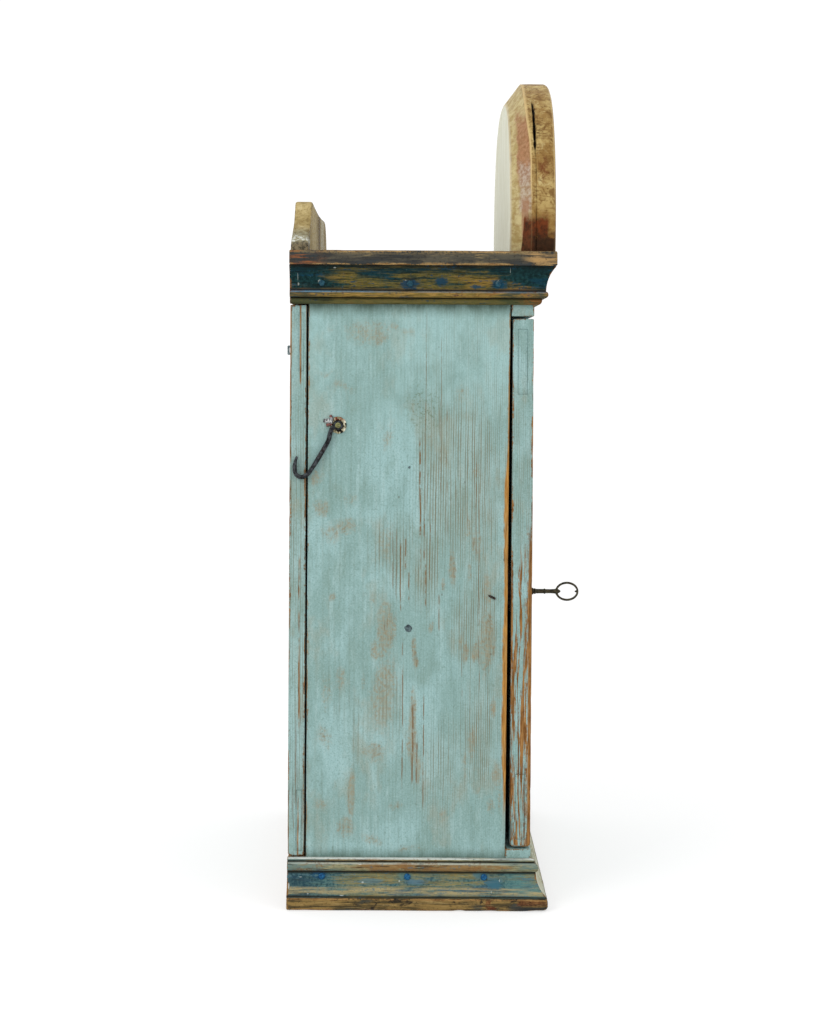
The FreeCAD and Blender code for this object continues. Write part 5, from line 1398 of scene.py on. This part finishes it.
# ------------------------------------------------------------------ lathe and tube helpers
def lathe(profile, origin, axis, n=28, seed=0.0, lump=0.0):
    """profile: (distance along the axis, radius). Closed at both ends. Millimetres."""
    a = Vector(axis).normalized()
    u = a.orthogonal().normalized()
    w = a.cross(u)
    o = Vector(origin)
    verts, faces = [], []
    for t, r in profile:
        for i in range(n):
            th = 2 * math.pi * i / n
            rr = r * (1 + lump * noise.noise(Vector((math.cos(th) * 1.7 + seed, math.sin(th) * 1.7, t * 0.3))))
            verts.append(tuple(o + a * t + (u * math.cos(th) + w * math.sin(th)) * rr))
    m = len(profile)
    for k in range(m - 1):
        for i in range(n):
            j = (i + 1) % n
            faces.append([k * n + i, k * n + j, (k + 1) * n + j, (k + 1) * n + i])
    faces.append([i for i in range(n)][::-1])
    faces.append([(m - 1) * n + i for i in range(n)])
    return verts, faces


def tube(path, radius, n=14, closed=False, up=(1, 0, 0), seed=0.0, lump=0.0, squash=1.0):
    """A round bar along a path that lies across up. radius(t) in millimetres."""
    up = Vector(up)
    pts = [Vector(p) for p in path]
    m = len(pts)
    verts, faces = [], []
    for k in range(m):
        if closed:
            d = pts[(k + 1) % m] - pts[k - 1]
        else:
            d = pts[min(m - 1, k + 1)] - pts[max(0, k - 1)]
        d.normalize()
        side = d.cross(up).normalized()
        t = k / (m - 1)
        r0 = radius(t)
        for i in range(n):
            th = 2 * math.pi * i / n
            r = r0 * (1 + lump * noise.noise(Vector((t * 9 + seed, math.cos(th) * 1.3, math.sin(th) * 1.3))))
            verts.append(tuple(pts[k] + side * (math.cos(th) * r) + up * (math.sin(th) * r * squash)))
    rows = m if closed else m - 1
    for k in range(rows):
        for i in range(n):
            j = (i + 1) % n
            k2 = (k + 1) % m
            faces.append([k * n + i, k * n + j, k2 * n + j, k2 * n + i])
    if not closed:
        faces.append([i for i in range(n)][::-1])
        faces.append([(m - 1) * n + i for i in range(n)])
    return verts, faces


def join(*parts):
    verts, faces = [], []
    for v, f in parts:
        o = len(verts)
        verts += v
        faces += [[i + o for i in q] for q in f]
    return verts, faces


# ------------------------------------------------------------------ hook and its pivot
HX, HY, HZ = -224.4, 89.9, 528.9
HOOK_PATH = [(93.98, 527.25), (97.0, 524.4), (98.9, 518.2), (101.3, 510.1), (112.3, 490.9), (121.0, 477.4),
             (124.8, 473.6), (129.4, 471.9), (134.1, 473.5), (136.6, 477.7), (137.1, 483.5), (136.3, 488.6),
             (134.6, 494.5)]
path = [(HX, y, z) for y, z in spline(HOOK_PATH, 8)]


def hook_r(t):
    """Forged bar: swells along the arm, drawn out a little at the tip of the crook."""
    r = 2.40 + 0.15 * math.sin(min(1.0, t / 0.42) * math.pi)
    if t > 0.80:
        r *= 1.0 - 0.45 * ((t - 0.80) / 0.20) ** 1.3
    return r


eye_path = []
for i in range(40):
    a = 2 * math.pi * i / 40.0
    eye_path.append((HX, HY + 3.87 * math.cos(a), HZ + 3.87 * math.sin(a)))
hook_mesh = join(
    tube(path, hook_r, 18, lump=0.10, seed=1.0),
    tube(eye_path, lambda t: 1.30, 14, closed=True),
)
piece("hook_bar", hook_mesh[0], hook_mesh[1], "hook", M_HOOK, ("hook",))

# the pin the eye turns on, with its riveted head
pin = lathe([(-15.9, 0.6), (-12, 1.9), (0.02, 2.0), (0.6, 2.40), (5.8, 2.40), (5.92, 2.45), (5.98, 2.9), (6.2, 3.05), (6.6, 2.8),
             (7.0, 2.2), (7.2, 1.3), (7.25, 0.2)], (-220.0, HY, HZ), (-1, 0, 0), 26, 4.0, 0.05)
piece("hook_pin", pin[0], pin[1], "case", M_BOSS, ("hook_pivot",), angle=40)

# cupped washer with a ragged rolled rim
verts, faces = [], []
NR = 72
section = [(2.4, 0.95), (4.6, 1.0), (5.7, 0.9), (6.1, 1.25), (6.9, 1.62), (7.9, 1.78), (8.8, 1.66), (9.4, 1.25), (9.8, 0.7), (9.85, 0.05), (8.3, 0.02), (2.4, 0.02)]
for i in range(NR):
    th = 2 * math.pi * i / NR
    c, sn = math.cos(th), math.sin(th)
    for k, (r, h) in enumerate(section):
        lump = noise.noise(Vector((c * 2.6, sn * 2.6, k * 0.35)))
        lump2 = noise.noise(Vector((c * 6.5 + 3.0, sn * 6.5, k * 0.5)))
        rr, hh = r, h
        if r > 5.0 and h > 0.03:
            rr = min(9.88, r * (1.0 - 0.06 + 0.07 * lump + 0.05 * lump2))
            hh = max(0.06, min(1.79, h * (0.80 + 0.4 * lump2 + 0.3 * lump)))
        verts.append((-220.0 - hh, HY + rr * c, HZ + rr * sn))
m = len(section)
for i in range(NR):
    i2 = (i + 1) % NR
    for k in range(m):
        k2 = (k + 1) % m
        faces.append([i * m + k, i * m + k2, i2 * m + k2, i2 * m + k])
piece("hook_washer", verts, faces, "case", M_WASHER, angle=50)


def torn_end(y0, z0, y1, z1, wide, thick, seed):
    pts = [(-220.0 - thick, y0 + (y1 - y0) * t, z0 + (z1 - z0) * t + 0.35 * math.sin(t * 4 + seed)) for t in [i / 9.0 for i in range(10)]]
    return tube(pts, lambda t: wide * (1.0 - 0.35 * t), 14, lump=0.45, seed=seed, squash=thick / wide)


v, f = join(torn_end(95.2, 533.0, 105.9, 534.3, 2.9, 0.93, 1.0), torn_end(95.9, 534.4, 98.4, 540.0, 2.0, 0.83, 2.0),
            torn_end(96.6, 531.2, 102.9, 528.4, 2.3, 0.83, 3.0))
piece("hook_washer_ends", v, f, "case", M_TORN)

# ------------------------------------------------------------------ key
KX, KZ, FACE = -185.0, 343.8, -124.15
kp = [(-39.2, 2.1), (-38.6, 2.42), (1.7, 2.44), (1.9, 3.1), (2.2, 3.75), (2.8, 3.85), (3.4, 3.6), (3.7, 2.9), (4.4, 2.9), (4.7, 3.25),
      (5.3, 3.4), (5.8, 3.1), (6.1, 2.6), (10.5, 2.5), (14.8, 2.45), (15.2, 2.7), (15.7, 2.98), (16.3, 2.98), (16.8, 2.7), (17.2, 2.4),
      (22.0, 2.3), (25.6, 2.45), (28.2, 2.7), (29.4, 2.0)]
shank = lathe(kp, (KX, FACE, KZ), (0, -1, 0), 22)
bow_c = FACE - 41.0
bow = []
for i in range(64):
    a = 2 * math.pi * i / 64.0
    c, s = math.cos(a), math.sin(a)
    bow.append((KX, bow_c + 11.85 * c, KZ + 9.5 * s))


def bow_r(t):
    a = 2 * math.pi * t
    return 1.10 + 0.16 * abs(math.sin(a)) + 0.45 * (math.exp(-(a / 0.3) ** 2) + math.exp(-((a - 2 * math.pi) / 0.3) ** 2))


bow_mesh = tube(bow, bow_r, 14, closed=True, up=(1, 0, 0), squash=1.25)
cusp1 = lathe([(-1.5, 2.4), (0.0, 2.7), (1.2, 2.7), (2.6, 2.2), (3.9, 1.4), (4.7, 0.6), (4.9, 0.1)], (KX, bow_c + 11.9, KZ), (0, -1, 0), 14)
cusp2 = lathe([(0.0, 1.0), (1.0, 1.35), (2.2, 1.0), (3.0, 0.5), (3.3, 0.1)], (KX, bow_c - 11.8, KZ), (0, 1, 0), 12)
bit_v, bit_f, _ = board_grid((KX - 1.2, -99.0, KZ - 6.8), (KX + 1.2, -88.2, KZ - 1.0), (3, 3, 3), 0.3, 3.0, wave=0.0)
km = join(shank, bow_mesh, cusp1, cusp2, (bit_v, bit_f))
piece("key_iron_piece", km[0], km[1], "key", M_KEY, ("key",), angle=40)


# ------------------------------------------------------------------ nails
def dome(p, d, r, h, seed, shank_r=0.0, shank=0.0, lump=0.09):
    """A hammered nail head: p on the wood, d into the wood."""
    n = Vector(d).normalized()
    prof = [(-h, 0.12 * r), (-h * 0.96, 0.35 * r), (-h * 0.82, 0.6 * r), (-h * 0.55, 0.84 * r), (-h * 0.22, 0.98 * r), (0.0, r), (0.25, 0.96 * r)]
    if shank:
        prof += [(0.3, shank_r), (shank, shank_r * 0.7)]
    else:
        prof += [(0.4, 0.4 * r)]
    return lathe(prof, p, n, 18, seed, lump)


parts = []
for y in (108.0, 12.0, -84.0):
    parts.append(dome((-233.6, y, 684.0), (1, 0, 0), 3.4, 1.4, y))
    parts.append(dome((233.6, y, 684.0), (-1, 0, 0), 3.4, 1.4, y + 1))
for x in (-150.0, 0.0, 150.0):
    parts.append(dome((x, -138.1, 684.0), (0, 1, 0), 3.4, 1.4, x + 2))
v, f = join(*parts)
piece("nail_heads_cornice", v, f, "case", M_CNAIL, ("cornice_nails",))
parts = []
for y in (105.0, 11.0, -73.0):
    parts.append(dome((-226.6, y, 34.0), (1, 0, 0), 3.7, 1.6, y))
    parts.append(dome((226.6, y, 34.0), (-1, 0, 0), 3.7, 1.6, y + 1))
for x in (-150.0, 0.0, 150.0):
    parts.append(dome((x, -131.1, 34.0), (0, 1, 0), 3.7, 1.6, x + 2))
v, f = join(*parts)
piece("nail_heads_base", v, f, "case", M_BLUENAIL, ("base_nails",))
parts = []
for z in (306.0, 483.0):
    r = 4.1 if z < 400 else 1.3
    parts.append(dome((-219.9, 11.6, z), (1, 0, 0), r, 0.6, z, lump=0.34))
    parts.append(dome((219.9, 11.6, z), (-1, 0, 0), 2.2, 0.6, z + 1))
v, f = join(*parts)
piece("nail_heads_shelf", v, f, "case", M_SNAIL, ("shelf_nails",))
parts = []
for sx in (-1, 1):
    for y in (-62.0, 92.0):
        parts.append(dome((sx * 210.0, y, 719.4), (0, 0, -1), 3.2, 0.8, y + sx))
        parts.append(dome((sx * 210.0, y, 1.2), (0, 0, 1), 3.2, 0.8, y + sx + 5))
v, f = join(*parts)
piece("nail_heads_carcass", v, f, "case", M_IRON, ("carcass_nails",))

# the clinched end of the keep nail on the outside of the side board
wedge = tube([(-220.6, y, z) for y, z in spline([(-76.2, 342.9), (-78.4, 341.8), (-80.4, 340.9), (-83.8, 339.2)], 4)],
             lambda t: 0.7 + 0.75 * math.sin(min(1.0, t * 1.6) * 1.57) - 0.5 * max(0.0, t - 0.6), 10, squash=0.8, lump=0.2)
inside = [lathe([(0, 2.4), (0.5, 2.3), (0.7, 1.4), (0.75, 0.2)], (-198.8, -80.0, z), (1, 0, 0), 16) for z in (341.0, 367.0)]
v, f = join(wedge, *inside)
piece("keep_nail_ends", v, f, "case", M_IRON, ("lock_keep_nails",))

# ------------------------------------------------------------------ the CAD nodes that stay
for node, mat in (
        ("front_hinge_case_leaves", M_IRON), ("front_hinge_door_leaves", M_IRON), ("front_hinge_pins", M_IRON),
        ("rear_hinge_case_leaves", M_IRON), ("rear_hinge_door_leaves", M_IRON), ("rear_hinge_pins", M_IRON),
        ("hinge_screws_case", M_IRON), ("hinge_screws_front_door", M_IRON), ("hinge_screws_rear_door", M_IRON),
        ("lock_case", M_IRON), ("lock_screws", M_IRON), ("lock_spring", M_IRON), ("lock_keep", M_IRON), ("lock_bolt", M_IRON),
        ("keyhole_plate", M_IRON), ("rear_door_pull", M_PULL), ("crest_nails", M_IRON),
        ("front_door_pegs", M_PEG), ("rear_door_pegs", M_PEG)):
    ob = NODES[node]
    ob.data.materials.clear()
    ob.data.materials.append(mat)
    if node != "crest_nails":
        w = ob.modifiers.new("weld", "WELD")
        w.merge_threshold = 0.00002
        b = ob.modifiers.new("bevel", "BEVEL")
        b.width = 0.00025
        b.segments = 2
        b.limit_method = "ANGLE"
        b.angle_limit = math.radians(40)

# ------------------------------------------------------------------ stage, light, camera
stage_mat = bpy.data.materials.new("studio_floor")
stage_mat.use_nodes = True
sb = stage_mat.node_tree.nodes["Principled BSDF"]
sb.inputs["Base Color"].default_value = (0.45, 0.45, 0.45, 1.0)
sb.inputs["Roughness"].default_value = 0.9
sb.inputs["Specular IOR Level"].default_value = 0.0
sb.inputs["Emission Color"].default_value = (1.0, 1.0, 1.0, 1.0)
sb.inputs["Emission Strength"].default_value = 0.55
me = bpy.data.meshes.new("floor_mesh")
R = 60.0
me.from_pydata([(-R, -R, -0.0005), (R, -R, -0.0005), (R, R, -0.0005), (-R, R, -0.0005)], [], [[0, 1, 2, 3]])
floor = bpy.data.objects.new("studio_ground", me)
bpy.context.scene.collection.objects.link(floor)
me.materials.append(stage_mat)

world = bpy.data.worlds.new("studio")
bpy.context.scene.world = world
world.use_nodes = True
bg = world.node_tree.nodes["Background"]
bg.inputs[0].default_value = (1.0, 1.0, 1.0, 1.0)
bg.inputs[1].default_value = 1.07


def area(name, loc, target, size, power, colour=(1, 1, 1)):
    l = bpy.data.lights.new(name, "AREA")
    l.shape = "RECTANGLE"
    l.size, l.size_y = size
    l.energy = power
    l.color = colour
    o = bpy.data.objects.new(name, l)
    bpy.context.scene.collection.objects.link(o)
    o.location = loc
    o.rotation_euler = (Vector(target) - Vector(loc)).to_track_quat("-Z", "Y").to_euler()


area("key_light", (-2.6, 2.2, 2.6), (0, 0, 0.45), (1.6, 1.6), 40)
area("fill_light", (-2.4, -2.6, 1.6), (0, 0, 0.4), (2.0, 2.0), 14)

cam = bpy.data.cameras.new("camera")
cam.sensor_width = 36.0
cam.sensor_fit = "AUTO"
F_PX = 1877.06
TILT_PX = 45.0
VP = (414.0, 350.8)
cam.lens = F_PX / 1024.0 * 36.0
cam.shift_x = -(VP[0] - 411.5) / 1024.0
cam.shift_y = -(512.0 - (VP[1] + TILT_PX)) / 1024.0
cam.clip_end = 100
co = bpy.data.objects.new("camera", cam)
bpy.context.scene.collection.objects.link(co)
co.location = (-2.27781, 0.00689, 0.59088)
tilt = 0.01423
look = Vector((math.cos(tilt), 0.0, -math.sin(tilt)))
rot = look.to_track_quat("-Z", "Y").to_matrix()
roll = Matrix.Rotation(0.00609, 3, "Z")
co.rotation_euler = (rot @ roll).to_euler()
bpy.context.scene.camera = co
bpy.context.scene.view_settings.view_transform = "Standard"
